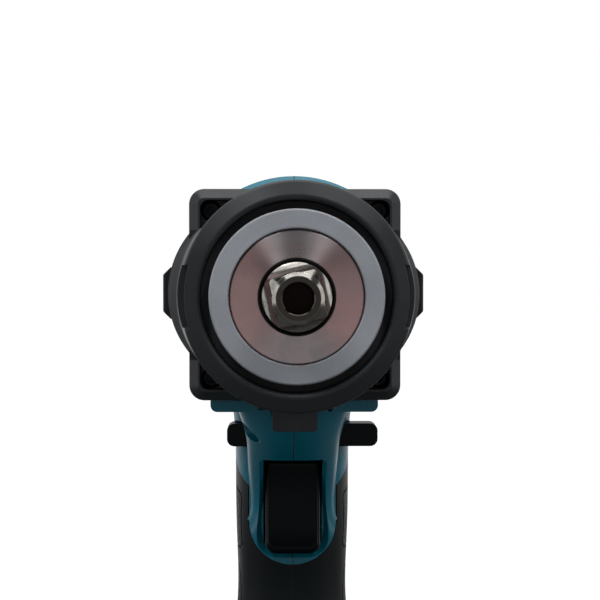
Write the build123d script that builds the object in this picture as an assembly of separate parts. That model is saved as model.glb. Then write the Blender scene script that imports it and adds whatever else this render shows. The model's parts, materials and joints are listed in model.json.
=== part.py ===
from build123d import *

import os
from math import acos, cos, pi, radians, sin, tan

# Cordless impact wrench with a half-inch square drive, as an assembly of separate pieces.
# The tool stands on its battery. The origin is the middle of the battery's underside, +Z is up, the drive
# points along -Y and +X is to the right of someone who faces the drive. A station is a distance behind the
# front of the nose cover, and a level is a height above the drive line. Lengths are in millimetres.

# Frame and fits
AXIS_HEIGHT = 206.0        # drive line above the standing surface
NOSE_FRONT_Y = -96.0       # front of the nose cover
GAP = 0.3                  # gap between pieces that move past each other
FIT = 0.05                 # running or locating fit, on the radius

# Square drive and anvil
DRIVE_AF = 12.7            # across the flats of the square
DRIVE_CORNER_R = 8.5       # turned corners of the square
DRIVE_TURN = 13.0          # rest angle of the square, degrees
ANVIL_REACH = 22.0         # tip in front of the nose cover
SHANK_R = 9.4
TIP_R = 6.7
TIP_LENGTH = 2.4
TIP_BORE_R = 3.97
TIP_BORE_DEPTH = 14.0
RING_GROOVE_R = 5.2
RING_GROOVE_WIDTH = 2.0
FLAT_LENGTH = 12.0         # straight length of the milled flats behind the groove
CUTTER_R = 6.0             # run-out radius of the flats
LUG_R = 21.0
LUG_WIDTH = 11.0
LUG_LENGTH = 9.0
ANVIL_HUB_R = 13.0

# Hammer case and shaft support
CASE_FACE = 1.0            # station of the machined front face
CASE_NOSE_R = 18.2
CASE_R = 29.0
CASE_WALL = 2.8
SEAL_R = 10.5
SEAL_DEPTH = 3.6
BUSHING_R = 12.5
BUSHING_LENGTH = 15.0
THRUST_PLAY = 0.4

# Work light
LIGHT_RING_R = 23.7
LIGHT_RING_DEPTH = 7.0
LAMP_CARRIER_R = 26.0
CARRIER_RIM = 2.2          # height of the carrier's rim, deep behind the light ring's face
LED_COUNT = 8

# Nose cover
COVER_LENGTH = 46.0
COVER_R = 31.5             # outer radius of the round front face
COVER_SLOPE = 2.1          # how far the face falls back towards its edge
COVER_ROUND = 0.9          # its outer edge
COVER_LIP_ROUND = 1.1      # its inner edge
FLANGE_SIDE = 61.2         # rounded square flange
FLANGE_CORNER = 4.4
FLANGE_BEVEL = 3.0
FLANGE_DEPTH = 15.0
POCKET_DEPTH = 4.6
EAR_THICKNESS = 6.0        # fixing ears of the hammer case
SCREW_OFFSET = 24.3        # cover screws, both ways from the drive line
SCREW_R = 1.5
SCREW_HEAD_R = 2.75
SCREW_HEAD = 2.6           # height of the heads, sunk below the floor of the pockets
FLARE_R = 37.4             # side flares at the back of the cover
FLARE_CURVE = 27.5
FLARE_HALF_WIDTH = 19.0
FLARE_RECESS = 10.0        # length of the recess between the face and each flare
FLARE_RECESS_HALF = 8.6
FLARE_SLOT = 1.2           # how deep the recess cuts into the edge of the face
TONGUE_WIDTH = 13.2
TONGUE_SLIT = 3.6          # length of the slit beside the tongue's slot
SLIT_LEVEL = -34.2
TONGUE_LEVEL = -39.8
TONGUE_SEAT = 4.0          # depth of the tongue's seat in the neck

# Impact mechanism
HAMMER_R = 24.5
HAMMER_LENGTH = 22.0
DOG_LENGTH = 8.0
DOG_ANGLE = 54.0           # dogs rest against the lugs, degrees from them
HAMMER_TRAVEL = 9.5
HAMMER_TWIST = 60.0        # turn of the hammer on the cam over that travel, degrees
SPINDLE_R = 9.0
PILOT_R = 4.5
CAM_BALL_R = 2.8
SPRING_COIL_R = 14.5
SPRING_WIRE_R = 1.5
SPRING_TURNS = 4

# Planetary gears
MODULE = 0.9
SUN_TEETH = 12
PLANET_TEETH = 18
PRESSURE_ANGLE = 25.0
ADDENDUM = 0.72
DEDENDUM = 0.99
TOOTH_THINNING = 0.10
PLANET_WIDTH = 7.0
PLANET_PIN_R = 2.5
CARRIER_DISC = 3.5
SPINDLE_BOSS_R = 8.5
SPINDLE_BEARING_R = 15.0
SPINDLE_BEARING_WIDTH = 6.0
PLATE_DISC = 6.5

# Motor
SHAFT_R = 4.0
MOTOR_BEARING_R = 8.0
MOTOR_BEARING_WIDTH = 5.0
FAN_R = 23.5
FAN_LENGTH = 6.5
FAN_BLADES = 11
STATOR_R = 25.0
STATOR_BORE_R = 14.2
MOTOR_REAR_ROOM = 4.8      # between the windings and the rear end of the barrel
WINDING_OVERHANG = 5.5
AIR_GAP = 0.5

# Housing
BARREL_R = 35.2
BARREL_BEVEL = 2.2         # front edge, beside the nose cover
BARREL_REAR_R = 33.8
BARREL_LENGTH = 86.0
HOUSING_WALL = 2.6
HOUSING_FLANGE = 13.0
REAR_COVER_LENGTH = 16.0
PAD_RISE = 3.4
PAD_CURVE = 29.1           # the pads are rounder than the barrel
PAD_HALF_HEIGHT = 20.0
PAD_ROUND = 1.0
RIB_RISE = 5.1             # raised rib on each side pad
RIB_HALF_HEIGHT = 5.6      # of its outer face
RIB_SPREAD = 2.4           # how far its ends slope out towards the pad
RIB_LENGTH = 26.0
RIB_ROUND = 0.9
KEEL_HALF_WIDTH = 25.0     # thin plate under the front of the barrel
KEEL_LEVEL = -35.2
KEEL_THICKNESS = 3.4
KEEL_LENGTH = 16.0
SPINE_WIDTH = 29.4         # narrow front of the neck, which runs down round the trigger
SPINE_CORNER = 13.0
NECK_FOOT = -52.0          # level of the lip over the trigger
GRIP_WIDTH = 37.0
PANEL_GROOVE = 0.7         # width and depth of the grooves round the grip's side panels
PANEL_CORNER = 2.5
HANDLE_CORNER = 15.3
HANDLE_MIDDLE = 106.0      # station of the handle's middle
GRIP_SKIN = 1.8            # thickness of the soft grip

# Controls
TRIGGER_WIDTH = 17.6
TRIGGER_TOP = -53.0
TRIGGER_BOTTOM = -83.5
TRIGGER_FRONT = 73.5
TRIGGER_DEPTH = 13.5
TRIGGER_TRAVEL = 6.5
TRIGGER_CORNER = 3.6
TRIGGER_ROUND = 2.0
TRIGGER_CLEARANCE = 0.6
TRIGGER_BEVEL = 2.4        # bevel of the mouth round the trigger
SURROUND_WIDTH = 28.0
LEVER_LENGTH = 48.8
LEVER_HEIGHT = 7.4
LEVER_DEPTH = 8.0
LEVER_LEVEL = -46.3
LEVER_STATION = 88.0
LEVER_OFFSET = 3.2         # rest position, pushed through to the right
SWITCH_WIDTH = 22.0
SWITCH_DEPTH = 19.0
SWITCH_HEIGHT = 27.0

# Foot and battery
FOOT_WIDTH = 72.0
FOOT_LENGTH = 86.0
FOOT_FRONT = 55.0
FOOT_SIDE_HEIGHT = 21.0
FOOT_SHOULDER = 10.0
BATTERY_WIDTH = 74.0
BATTERY_LENGTH = 112.0
BATTERY_LOWER = 40.0
BATTERY_HEIGHT = 58.0
BATTERY_WALL = 2.4
BATTERY_SEAM = 0.6         # chamfer along the joint of its two shells
GROOVE_COUNT = 4           # finger grooves in each side of the lower shell
GROOVE_LEVEL = 11.0
GROOVE_PITCH = 5.6
GROOVE_LENGTH = 66.0
GROOVE_WIDTH = 2.8
GROOVE_DEPTH = 1.0
RAIL_WIDTH = 28.0          # half width of the battery's sliding head
RAIL_STEM = 24.0
RAIL_HEIGHT = 10.6
CELL_R = 9.1
CELL_LENGTH = 65.0
CELL_PITCH = 18.6

# Stations that follow from the dimensions above
TIP_STATION = -ANVIL_REACH
GROOVE_STATION = TIP_STATION + TIP_LENGTH
SQUARE_STATION = GROOVE_STATION + RING_GROOVE_WIDTH
FLAT_END = SQUARE_STATION + FLAT_LENGTH
BUSHING_START = CASE_FACE + SEAL_DEPTH
BUSHING_END = BUSHING_START + BUSHING_LENGTH
HEAD_START = BUSHING_END + THRUST_PLAY
HEAD_END = HEAD_START + LUG_LENGTH
HAMMER_START = HEAD_END + 0.5
HAMMER_END = HAMMER_START + HAMMER_LENGTH
CARRIER_START = HAMMER_END + HAMMER_TRAVEL + 0.5
PLANET_START = CARRIER_START + CARRIER_DISC + GAP
PLANET_END = PLANET_START + PLANET_WIDTH
CARRIER_END = PLANET_END + GAP + CARRIER_DISC
PLATE_START = CARRIER_END + 0.5
PLATE_END = PLATE_START + PLATE_DISC
HUB_END = PLATE_END + MOTOR_BEARING_WIDTH
FAN_START = HUB_END + 1.1
FAN_END = FAN_START + FAN_LENGTH
BARREL_END = COVER_LENGTH + BARREL_LENGTH
WINDING_END = BARREL_END - MOTOR_REAR_ROOM
STACK_START = FAN_END + 1.5 + WINDING_OVERHANG
STACK_END = WINDING_END - WINDING_OVERHANG
STACK_LENGTH = STACK_END - STACK_START
TOOL_END = BARREL_END + REAR_COVER_LENGTH
FLANGE_START = COVER_LENGTH - FLANGE_DEPTH
TONGUE_ROOT = -CASE_R - 1.6
FOOT_BOTTOM = BATTERY_HEIGHT + 0.4
FOOT_SIDE_TOP = FOOT_BOTTOM + FOOT_SIDE_HEIGHT
FOOT_TOP = FOOT_SIDE_TOP + FOOT_SHOULDER
FOOT_REAR = FOOT_FRONT + FOOT_LENGTH
BATTERY_FRONT = -NOSE_FRONT_Y - BATTERY_LENGTH / 2
BATTERY_REAR = BATTERY_FRONT + BATTERY_LENGTH
CASE_BORE_R = CASE_R - CASE_WALL
RING_TEETH = SUN_TEETH + 2 * PLANET_TEETH
SUN_PITCH_R = MODULE * SUN_TEETH / 2
PLANET_PITCH_R = MODULE * PLANET_TEETH / 2
RING_PITCH_R = MODULE * RING_TEETH / 2
PLANET_ORBIT_R = SUN_PITCH_R + PLANET_PITCH_R

BASE = (Align.CENTER, Align.CENTER, Align.MIN)
DRIVE_LINE = Location(Plane(origin=(0, NOSE_FRONT_Y, AXIS_HEIGHT), x_dir=(-1, 0, 0), z_dir=(0, 1, 0)))


# Helpers
def at(station):
    """World y of a station."""
    return NOSE_FRONT_Y + station


def up(level):
    """World z of a level above the drive line."""
    return AXIS_HEIGHT + level


def save(name, shape):
    export_step(shape, f"parts/{name}.step")


def group(*shapes):
    """Separate solids kept side by side in one node."""
    solids = [solid for shape in shapes for solid in shape.solids()]
    return Compound(children=solids)


def tube(outer, inner, start, end):
    """Ring about the local z axis between two stations; a zero inner radius makes a cylinder."""
    body = Pos(0, 0, start) * Cylinder(outer, end - start, align=BASE)
    if inner > 0:
        body -= Pos(0, 0, start - 1) * Cylinder(inner, end - start + 2, align=BASE)
    return body


def turned(*corners):
    """Solid of revolution about the local z axis from (radius, station) corners."""
    outline = Polyline(*[(radius, 0, station) for radius, station in corners], close=True)
    return revolve(make_face(outline), Axis.Z)


def block(x0, x1, station0, station1, z0, z1):
    """World box between two x values, two stations and two heights above the standing surface."""
    middle = ((x0 + x1) / 2, at((station0 + station1) / 2), (z0 + z1) / 2)
    return Pos(*middle) * Box(x1 - x0, station1 - station0, z1 - z0)


def circles(shape, radius, station):
    """Circular edges of one radius at one local station."""
    found = shape.edges().filter_by(GeomType.CIRCLE)
    return [edge for edge in found
            if abs(edge.radius - radius) < 1e-3 and abs(edge.arc_center.Z - station) < 1e-3]


def side_prism(half_width, *corners):
    """Prism across the tool from a side outline of (station, level) corners."""
    outline = make_face(Plane.YZ * Polyline(*[(at(s), up(h)) for s, h in corners], close=True))
    return extrude(outline, half_width, both=True)


def polar(count, shape, first=0.0):
    """Copies of a shape around the local z axis."""
    return [Rot(0, 0, first + 360 * index / count) * shape for index in range(count)]


def halves(shape):
    """A moulding split on the middle plane, as left and right pieces."""
    left = split(shape, bisect_by=Plane.YZ, keep=Keep.BOTTOM)
    right = split(shape, bisect_by=Plane.YZ, keep=Keep.TOP)
    return left, right


def screw(shank_r, length, head_r, head_height):
    """Socket screw along local z: the head ends at zero and the shank runs to its length."""
    body = Pos(0, 0, -head_height) * Cylinder(head_r, head_height, align=BASE)
    body = chamfer(circles(body, head_r, -head_height), head_height * 0.2)
    body += Cylinder(shank_r, length, align=BASE)
    socket = extrude(RegularPolygon(head_r * 0.55, 6), head_height * 0.6)
    return body - Pos(0, 0, -head_height) * socket


def bearing(inner, outer, start, width):
    """Sealed ball bearing: outer race, seal and inner race."""
    wall = (outer - inner) / 4
    outer_race = tube(outer, outer - wall, start, start + width)
    inner_race = tube(inner + wall, inner, start, start + width)
    seal = tube(outer - wall, inner + wall, start + 0.4, start + width - 0.4)
    return group(outer_race, seal, inner_race)


def gear(teeth, root_r, tip_r, thinning, length):
    """Straight spur gear with involute flanks and a tooth centred on the local x axis."""
    pitch_r = MODULE * teeth / 2
    base_r = pitch_r * cos(radians(PRESSURE_ANGLE))
    half_tooth = pi / (2 * teeth) - thinning / (2 * pitch_r)

    def involute(radius):
        angle = acos(min(1.0, base_r / radius))
        return tan(angle) - angle

    radii = [root_r + (tip_r - root_r) * step / 3 for step in range(4)]
    flank = [(radius, half_tooth + involute(pitch_r) - involute(radius)) for radius in radii]
    points = []
    for tooth in range(teeth):
        middle = 2 * pi * tooth / teeth
        points += [(radius * cos(middle - half), radius * sin(middle - half)) for radius, half in flank]
        points += [(r * cos(middle + half), r * sin(middle + half)) for r, half in reversed(flank)]
    return extrude(make_face(Polyline(*points, close=True)), length)


# Anvil with its square, tip groove and two lugs
def anvil():
    tip = turned((0, TIP_STATION), (TIP_R - 0.95, TIP_STATION), (TIP_R, TIP_STATION + 0.9),
                 (TIP_R, GROOVE_STATION), (RING_GROOVE_R, GROOVE_STATION), (RING_GROOVE_R, SQUARE_STATION),
                 (TIP_R, SQUARE_STATION), (DRIVE_CORNER_R, SQUARE_STATION + 1.4),
                 (DRIVE_CORNER_R, FLAT_END), (SHANK_R, FLAT_END + 1.5), (SHANK_R, HEAD_START),
                 (ANVIL_HUB_R, HEAD_START), (ANVIL_HUB_R, HEAD_END), (0, HEAD_END))
    reach = 3 * DRIVE_AF
    flat = Pos(0, 0, SQUARE_STATION - 1) * Box(reach, reach, FLAT_LENGTH + 1, align=BASE)
    runout = Pos(CUTTER_R - reach / 2, 0, FLAT_END) * Rot(90, 0, 0) * Cylinder(CUTTER_R, reach)
    cutter = Pos(DRIVE_AF / 2 + reach / 2, 0, 0) * (flat + runout)
    for copy in polar(4, cutter, -DRIVE_TURN):
        tip -= copy
    lugs = Pos(0, 0, HEAD_START) * Box(2 * LUG_R, LUG_WIDTH, LUG_LENGTH, align=BASE)
    lugs &= tube(LUG_R, 0, HEAD_START, HEAD_END)
    body = tip + lugs
    body -= tube(TIP_BORE_R, 0, TIP_STATION - 1, TIP_STATION + TIP_BORE_DEPTH)
    body -= turned((0, TIP_STATION), (TIP_BORE_R + 0.35, TIP_STATION), (TIP_BORE_R, TIP_STATION + 0.35),
                   (0, TIP_STATION + 0.35))
    return body - tube(PILOT_R, 0, HEAD_END - 7.5, HEAD_END + 1)


def friction_ring():
    inner = RING_GROOVE_R + FIT
    ring = tube(TIP_R + 0.05, inner, GROOVE_STATION + FIT, SQUARE_STATION - FIT)
    slot = Pos(0, TIP_R, GROOVE_STATION) * Box(3.0, TIP_R, 2 * RING_GROOVE_WIDTH)
    return Rot(0, 0, 40) * (ring - slot)


# Hammer case with the shaft seal and bushing
CASE_CONE_START = 9.5
CASE_CONE_END = CASE_CONE_START + 12.5
CASE_END = PLATE_START
EAR_START = COVER_LENGTH - EAR_THICKNESS


def hammer_case():
    mouth = CASE_BORE_R - 4
    body = turned((SEAL_R + FIT, CASE_FACE), (CASE_NOSE_R - 0.4, CASE_FACE), (CASE_NOSE_R, CASE_FACE + 0.4),
                  (CASE_NOSE_R, CASE_CONE_START), (CASE_R, CASE_CONE_END), (CASE_R, CASE_END),
                  (CASE_BORE_R, CASE_END), (CASE_BORE_R, BUSHING_END + 4.5), (mouth, BUSHING_END),
                  (BUSHING_R + FIT, BUSHING_END), (BUSHING_R + FIT, BUSHING_START),
                  (SEAL_R + FIT, BUSHING_START))
    side = 2 * SCREW_OFFSET + 7.0
    ears = extrude(RectangleRounded(side, side, FLANGE_CORNER), EAR_THICKNESS)
    ears -= Pos(0, 0, -1) * Cylinder(CASE_R - 1, EAR_THICKNESS + 2, align=BASE)
    body += Pos(0, 0, EAR_START) * ears
    for hole in cover_screw_places():
        body -= hole * tube(SCREW_R + 0.2, 0, EAR_START - 1, COVER_LENGTH + 1)
    return body


def cover_screw_places():
    corners = [(1, 1), (-1, 1), (-1, -1), (1, -1)]
    return [Pos(SCREW_OFFSET * x, SCREW_OFFSET * y, 0) for x, y in corners]


def anvil_seal():
    return turned((SHANK_R + FIT, CASE_FACE + 1.2), (SHANK_R + 0.7, CASE_FACE + 0.5),
                  (SEAL_R, CASE_FACE + 0.3), (SEAL_R, BUSHING_START), (SHANK_R + FIT, BUSHING_START))


def anvil_bushing():
    return tube(BUSHING_R, SHANK_R + FIT, BUSHING_START, BUSHING_END)


# Work light
LIGHT_BORE_R = CASE_NOSE_R + 0.15
LED_R = (LIGHT_BORE_R + LIGHT_RING_R) / 2
BOARD_THICKNESS = 1.2


def light_ring():
    front = CASE_FACE - 0.4
    body = turned((LIGHT_BORE_R, front + 0.3), (LIGHT_BORE_R + 0.3, front), (LIGHT_RING_R - 0.4, front),
                  (LIGHT_RING_R, front + 0.4), (LIGHT_RING_R, LIGHT_RING_DEPTH),
                  (LIGHT_BORE_R, LIGHT_RING_DEPTH))
    return body - tube(LIGHT_RING_R - 1, LIGHT_BORE_R + 1, front + 1.8, LIGHT_RING_DEPTH + 1)


def lamp_board():
    """Ring-shaped circuit board with its light-emitting chips."""
    start = LIGHT_RING_DEPTH
    height = 1.0
    board = tube(LIGHT_RING_R, LIGHT_BORE_R, start, start + BOARD_THICKNESS)
    chip = Pos(LED_R, 0, start - height) * Box(2.8, 2.8, height, align=BASE)
    return group(board, *polar(LED_COUNT, chip))


def lamp_carrier():
    floor = LIGHT_RING_DEPTH + BOARD_THICKNESS
    rim = LIGHT_RING_R + 0.1
    slope = (CASE_R - CASE_NOSE_R) / (CASE_CONE_END - CASE_CONE_START)
    floor_bore = CASE_NOSE_R + slope * (floor + 2 - CASE_CONE_START) + 0.6
    front = floor - CARRIER_RIM
    return turned((rim, front), (LAMP_CARRIER_R, front), (LAMP_CARRIER_R, floor + 2),
                  (floor_bore, floor + 2), (floor_bore, floor), (rim, floor))


# Nose cover: round face, corner flange with pockets, side flares and lower tongue
FLARE_START = COVER_SLOPE + COVER_ROUND + 0.5
SCREW_SEAT = FLANGE_START + POCKET_DEPTH + SCREW_HEAD + 0.4


def side_flares():
    """Round forms that slant outwards behind the face to each side."""
    front = Pos(COVER_R - FLARE_CURVE - 0.1, 0, FLARE_START) * Circle(FLARE_CURVE)
    back = Pos(FLARE_R - FLARE_CURVE, 0, COVER_LENGTH) * Circle(FLARE_CURVE)
    side = loft([front, back]) & Pos(FLARE_R, 0, 0) * Box(
        2 * FLARE_R, 2 * FLARE_HALF_WIDTH, COVER_LENGTH, align=BASE)
    return side + Rot(0, 0, 180) * side


def flare_recesses():
    """Slots between the edge of the face and each flare, open to the front."""
    recess = tube(2 * FLARE_R, COVER_R - FLARE_SLOT, -1, FLARE_START + FLARE_RECESS)
    return recess & Box(4 * FLARE_R, 2 * FLARE_RECESS_HALF, 2 * COVER_LENGTH)


def nose_cover():
    lip = LAMP_CARRIER_R + FIT
    nose = turned((0, 0), (lip, 0), (COVER_R, COVER_SLOPE), (COVER_R, COVER_LENGTH), (0, COVER_LENGTH))
    flange = Pos(0, 0, FLANGE_START) * extrude(
        RectangleRounded(FLANGE_SIDE, FLANGE_SIDE, FLANGE_CORNER), FLANGE_DEPTH)
    front_edges = flange.faces().sort_by(Axis.Z)[0].edges()
    flange = chamfer(front_edges, FLANGE_BEVEL * 0.9)
    pocket_side = FLANGE_SIDE - 2 * FLANGE_BEVEL - 0.6
    flange -= Pos(0, 0, FLANGE_START - 1) * extrude(
        RectangleRounded(pocket_side, pocket_side, FLANGE_CORNER - 2), POCKET_DEPTH + 1)
    nose = fillet(circles(nose, COVER_R, COVER_SLOPE), COVER_ROUND)
    body = nose + flange + side_flares() - flare_recesses()

    # Tongue below the nose, let into the neck behind it
    height = TONGUE_ROOT - TONGUE_LEVEL
    length = COVER_LENGTH + TONGUE_SEAT - FLANGE_START - 3
    middle = TONGUE_LEVEL + height / 2
    tongue = Pos(0, middle, FLANGE_START + 3) * Box(TONGUE_WIDTH, height, length, align=BASE)
    body += fillet(tongue.edges().filter_by(Axis.Z).group_by(Axis.Y)[0], 1.2)

    # Room for the lamp, the hammer case and its ears
    inside = CASE_R + 0.4
    depth = LIGHT_RING_DEPTH + BOARD_THICKNESS + 2
    slope = (CASE_R - CASE_NOSE_R) / (CASE_CONE_END - CASE_CONE_START)
    throat = CASE_NOSE_R + slope * (depth - CASE_CONE_START) + 0.6
    body -= turned((0, -1), (lip, -1), (lip, depth), (throat, depth),
                   (inside, CASE_CONE_END), (inside, COVER_LENGTH + 1), (0, COVER_LENGTH + 1))
    body = fillet(circles(body, lip, 0), COVER_LIP_ROUND)
    ear_room = 2 * SCREW_OFFSET + 7.0 + 0.4
    body -= Pos(0, 0, EAR_START) * extrude(
        RectangleRounded(ear_room, ear_room, FLANGE_CORNER), EAR_THICKNESS + 1)
    for hole in cover_screw_places():
        body -= hole * tube(SCREW_R + GAP, 0, FLANGE_START, COVER_LENGTH)
        body -= hole * tube(SCREW_HEAD_R + GAP, 0, FLANGE_START - 1, SCREW_SEAT)
    return body


def cover_screws():
    bolt = screw(SCREW_R, COVER_LENGTH - SCREW_SEAT + HOUSING_FLANGE - 2, SCREW_HEAD_R, SCREW_HEAD)
    return group(*[place * Pos(0, 0, SCREW_SEAT) * bolt for place in cover_screw_places()])


# Impact mechanism
def cam_path(side):
    """Groove of one cam leg: a ball swept back along a steep helix, turning to one side."""
    pitch = HAMMER_TRAVEL * 360 / HAMMER_TWIST
    radius = SPINDLE_R + 0.3
    ball_r = CAM_BALL_R + 0.15
    leg = Helix(pitch=pitch, height=HAMMER_TRAVEL, radius=radius, lefthand=side < 0)
    start = Plane(origin=leg @ 0, z_dir=leg % 0)
    groove = sweep(start * Circle(ball_r), path=leg, is_frenet=True)
    groove += Pos(*(leg @ 0)) * Sphere(ball_r)
    return groove + Pos(*(leg @ 1)) * Sphere(ball_r)


CAM_STATION = HAMMER_START + 6.0


def cam_balls():
    ball = Pos(SPINDLE_R + 0.3, 0, CAM_STATION) * Sphere(CAM_BALL_R)
    return group(*polar(2, ball))


def spindle():
    pilot_end = HEAD_END - 7.0
    body = turned((0, pilot_end), (PILOT_R - FIT, pilot_end), (PILOT_R - FIT, HEAD_END + GAP),
                  (SPINDLE_R, HEAD_END + GAP), (SPINDLE_R, CARRIER_START),
                  (PLANET_ORBIT_R + 4.5, CARRIER_START),
                  (PLANET_ORBIT_R + 4.5, CARRIER_END), (SPINDLE_BOSS_R, CARRIER_END),
                  (SPINDLE_BOSS_R, PLATE_END - 1), (0, PLATE_END - 1))
    bore = SUN_PITCH_R + ADDENDUM + 0.5
    body -= tube(bore, 0, CARRIER_START + CARRIER_DISC, PLATE_END)
    pocket = tube(PLANET_PITCH_R + ADDENDUM + 0.5, 0, PLANET_START - GAP, PLANET_END + GAP)
    pin_hole = tube(PLANET_PIN_R, 0, CARRIER_START + 1, CARRIER_END + 1)
    for cut in polar(3, Pos(PLANET_ORBIT_R, 0, 0) * (pocket + pin_hole)):
        body -= cut
    leg = Pos(0, 0, CAM_STATION) * (cam_path(1) + cam_path(-1))
    for cut in polar(2, leg):
        body -= cut
    return body


def hammer():
    bore = SPINDLE_R + 0.15
    spring_seat = HAMMER_START + 10.5
    body = turned((bore, HAMMER_START), (HAMMER_R - 1, HAMMER_START), (HAMMER_R, HAMMER_START + 1),
                  (HAMMER_R, HAMMER_END), (SPRING_COIL_R + SPRING_WIRE_R + 0.8, HAMMER_END),
                  (SPRING_COIL_R + SPRING_WIRE_R + 0.8, spring_seat), (bore, spring_seat))
    dog = tube(HAMMER_R - 1.2, ANVIL_HUB_R + 0.5, HAMMER_START - DOG_LENGTH, HAMMER_START + 0.5)
    dog &= Pos(0, (HAMMER_R + ANVIL_HUB_R) / 2, HAMMER_START) * Box(12.0, 16.0, 3 * DOG_LENGTH)
    for copy in polar(2, dog, DOG_ANGLE - 90):
        body += copy
    seat = Pos(SPINDLE_R + 0.3, 0, CAM_STATION) * Sphere(CAM_BALL_R + 0.1)
    for copy in polar(2, seat):
        body -= copy
    return body


WASHER_STATION = HAMMER_START + 10.5 + 0.1
SPRING_START = WASHER_STATION + 1.5


def spring_washer():
    return tube(SPRING_COIL_R + SPRING_WIRE_R + 0.4, SPINDLE_R + 0.3, WASHER_STATION, SPRING_START)


def coil(radius, wire, start, end, turns):
    """Coil spring about the local z axis with its wire inside the two stations."""
    height = end - start - 2 * wire
    path = Helix(pitch=height / turns, height=height, radius=radius)
    section = Plane(origin=path @ 0, z_dir=path % 0) * Circle(wire)
    return Pos(0, 0, start + wire) * sweep(section, path=path, is_frenet=True)


def hammer_spring():
    return coil(SPRING_COIL_R, SPRING_WIRE_R, SPRING_START + 0.1, CARRIER_START - 0.1, SPRING_TURNS)


# Planetary gears: the sun has a tooth, each planet a space and the ring a tooth on the planet directions
def planet_gear(index):
    blank = gear(PLANET_TEETH, PLANET_PITCH_R - DEDENDUM, PLANET_PITCH_R + ADDENDUM,
                 TOOTH_THINNING, PLANET_WIDTH)
    blank -= Pos(0, 0, -1) * Cylinder(PLANET_PIN_R + FIT, PLANET_WIDTH + 2, align=BASE)
    half_pitch = 180 / PLANET_TEETH
    direction = 120 * index
    placed = Pos(PLANET_ORBIT_R, 0, PLANET_START) * Rot(0, 0, 180 - half_pitch) * blank
    return Rot(0, 0, direction) * placed


def planet_pins():
    pin = tube(PLANET_PIN_R, 0, CARRIER_START + 1, CARRIER_END)
    return group(*polar(3, Pos(PLANET_ORBIT_R, 0, 0) * pin))


def ring_gear():
    length = PLANET_WIDTH + 2 * GAP
    space = gear(RING_TEETH, RING_PITCH_R - ADDENDUM, RING_PITCH_R + DEDENDUM, -TOOTH_THINNING, length + 2)
    ring = Cylinder(CASE_BORE_R - FIT, length, align=BASE)
    ring -= Pos(0, 0, -1) * Rot(0, 0, 180 / RING_TEETH) * space
    return Pos(0, 0, PLANET_START - GAP) * ring


def bearing_plate():
    clamp_r = RING_PITCH_R - ADDENDUM
    pocket_end = PLATE_START + SPINDLE_BEARING_WIDTH
    outer = CASE_R + 1.5
    body = turned((clamp_r, PLANET_END + GAP + FIT), (CASE_BORE_R - FIT, PLANET_END + GAP + FIT),
                  (CASE_BORE_R - FIT, PLATE_START), (outer, PLATE_START), (outer, PLATE_END),
                  (MOTOR_BEARING_R + 2.6, PLATE_END), (MOTOR_BEARING_R + 2.6, HUB_END),
                  (MOTOR_BEARING_R + FIT, HUB_END), (MOTOR_BEARING_R + FIT, PLATE_END - 0.2),
                  (SHAFT_R + 1.0, PLATE_END - 0.2), (SHAFT_R + 1.0, pocket_end),
                  (SPINDLE_BEARING_R + FIT, pocket_end), (SPINDLE_BEARING_R + FIT, PLATE_START),
                  (clamp_r, PLATE_START))
    return body


def spindle_bearing():
    return bearing(SPINDLE_BOSS_R + FIT, SPINDLE_BEARING_R, PLATE_START, SPINDLE_BEARING_WIDTH)


# Motor
REAR_BEARING_START = BARREL_END + 1.0
SHAFT_END = REAR_BEARING_START + MOTOR_BEARING_WIDTH


def motor_bearings():
    front = bearing(SHAFT_R + FIT, MOTOR_BEARING_R, PLATE_END - 0.2, MOTOR_BEARING_WIDTH)
    return group(front, bearing(SHAFT_R + FIT, MOTOR_BEARING_R, REAR_BEARING_START, MOTOR_BEARING_WIDTH))


def rotor_shaft():
    """Motor shaft with the sun pinion cut on its front end."""
    pinion = gear(SUN_TEETH, SUN_PITCH_R - DEDENDUM, SUN_PITCH_R + ADDENDUM, TOOTH_THINNING, PLANET_WIDTH + 1)
    body = Pos(0, 0, PLANET_START - 0.1) * pinion
    return body + tube(SHAFT_R, 0, PLANET_START + 1, SHAFT_END)


ROTOR_R = STATOR_BORE_R - AIR_GAP
MAGNET_COUNT = 4


def rotor_core():
    body = tube(ROTOR_R, SHAFT_R, STACK_START, STACK_END)
    for cut in polar(MAGNET_COUNT, Pos(0, ROTOR_R * 0.74, (STACK_START + STACK_END) / 2)
                     * Box(ROTOR_R * 1.1, 2.4, STACK_LENGTH + 2)):
        body -= cut
    return body


def rotor_magnets():
    magnet = Pos(0, ROTOR_R * 0.74, (STACK_START + STACK_END) / 2) * Box(
        ROTOR_R * 1.1 - 0.2, 2.2, STACK_LENGTH - 0.2)
    return group(*polar(MAGNET_COUNT, magnet))


def fan():
    hub = tube(8.0, SHAFT_R, FAN_START, FAN_END)
    disc = tube(FAN_R, SHAFT_R, FAN_END - 1.4, FAN_END)
    blade = Pos((FAN_R + 8) / 2, 0, FAN_START) * Rot(0, 0, 28) * Box(FAN_R - 10, 1.2, FAN_LENGTH, align=BASE)
    body = hub + disc
    for copy in polar(FAN_BLADES, blade):
        body += copy
    return body & tube(FAN_R, 0, FAN_START, FAN_END)


STATOR_TEETH = 6
TOOTH_WIDTH = 6.4
YOKE_R = STATOR_R - 3.6


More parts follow.
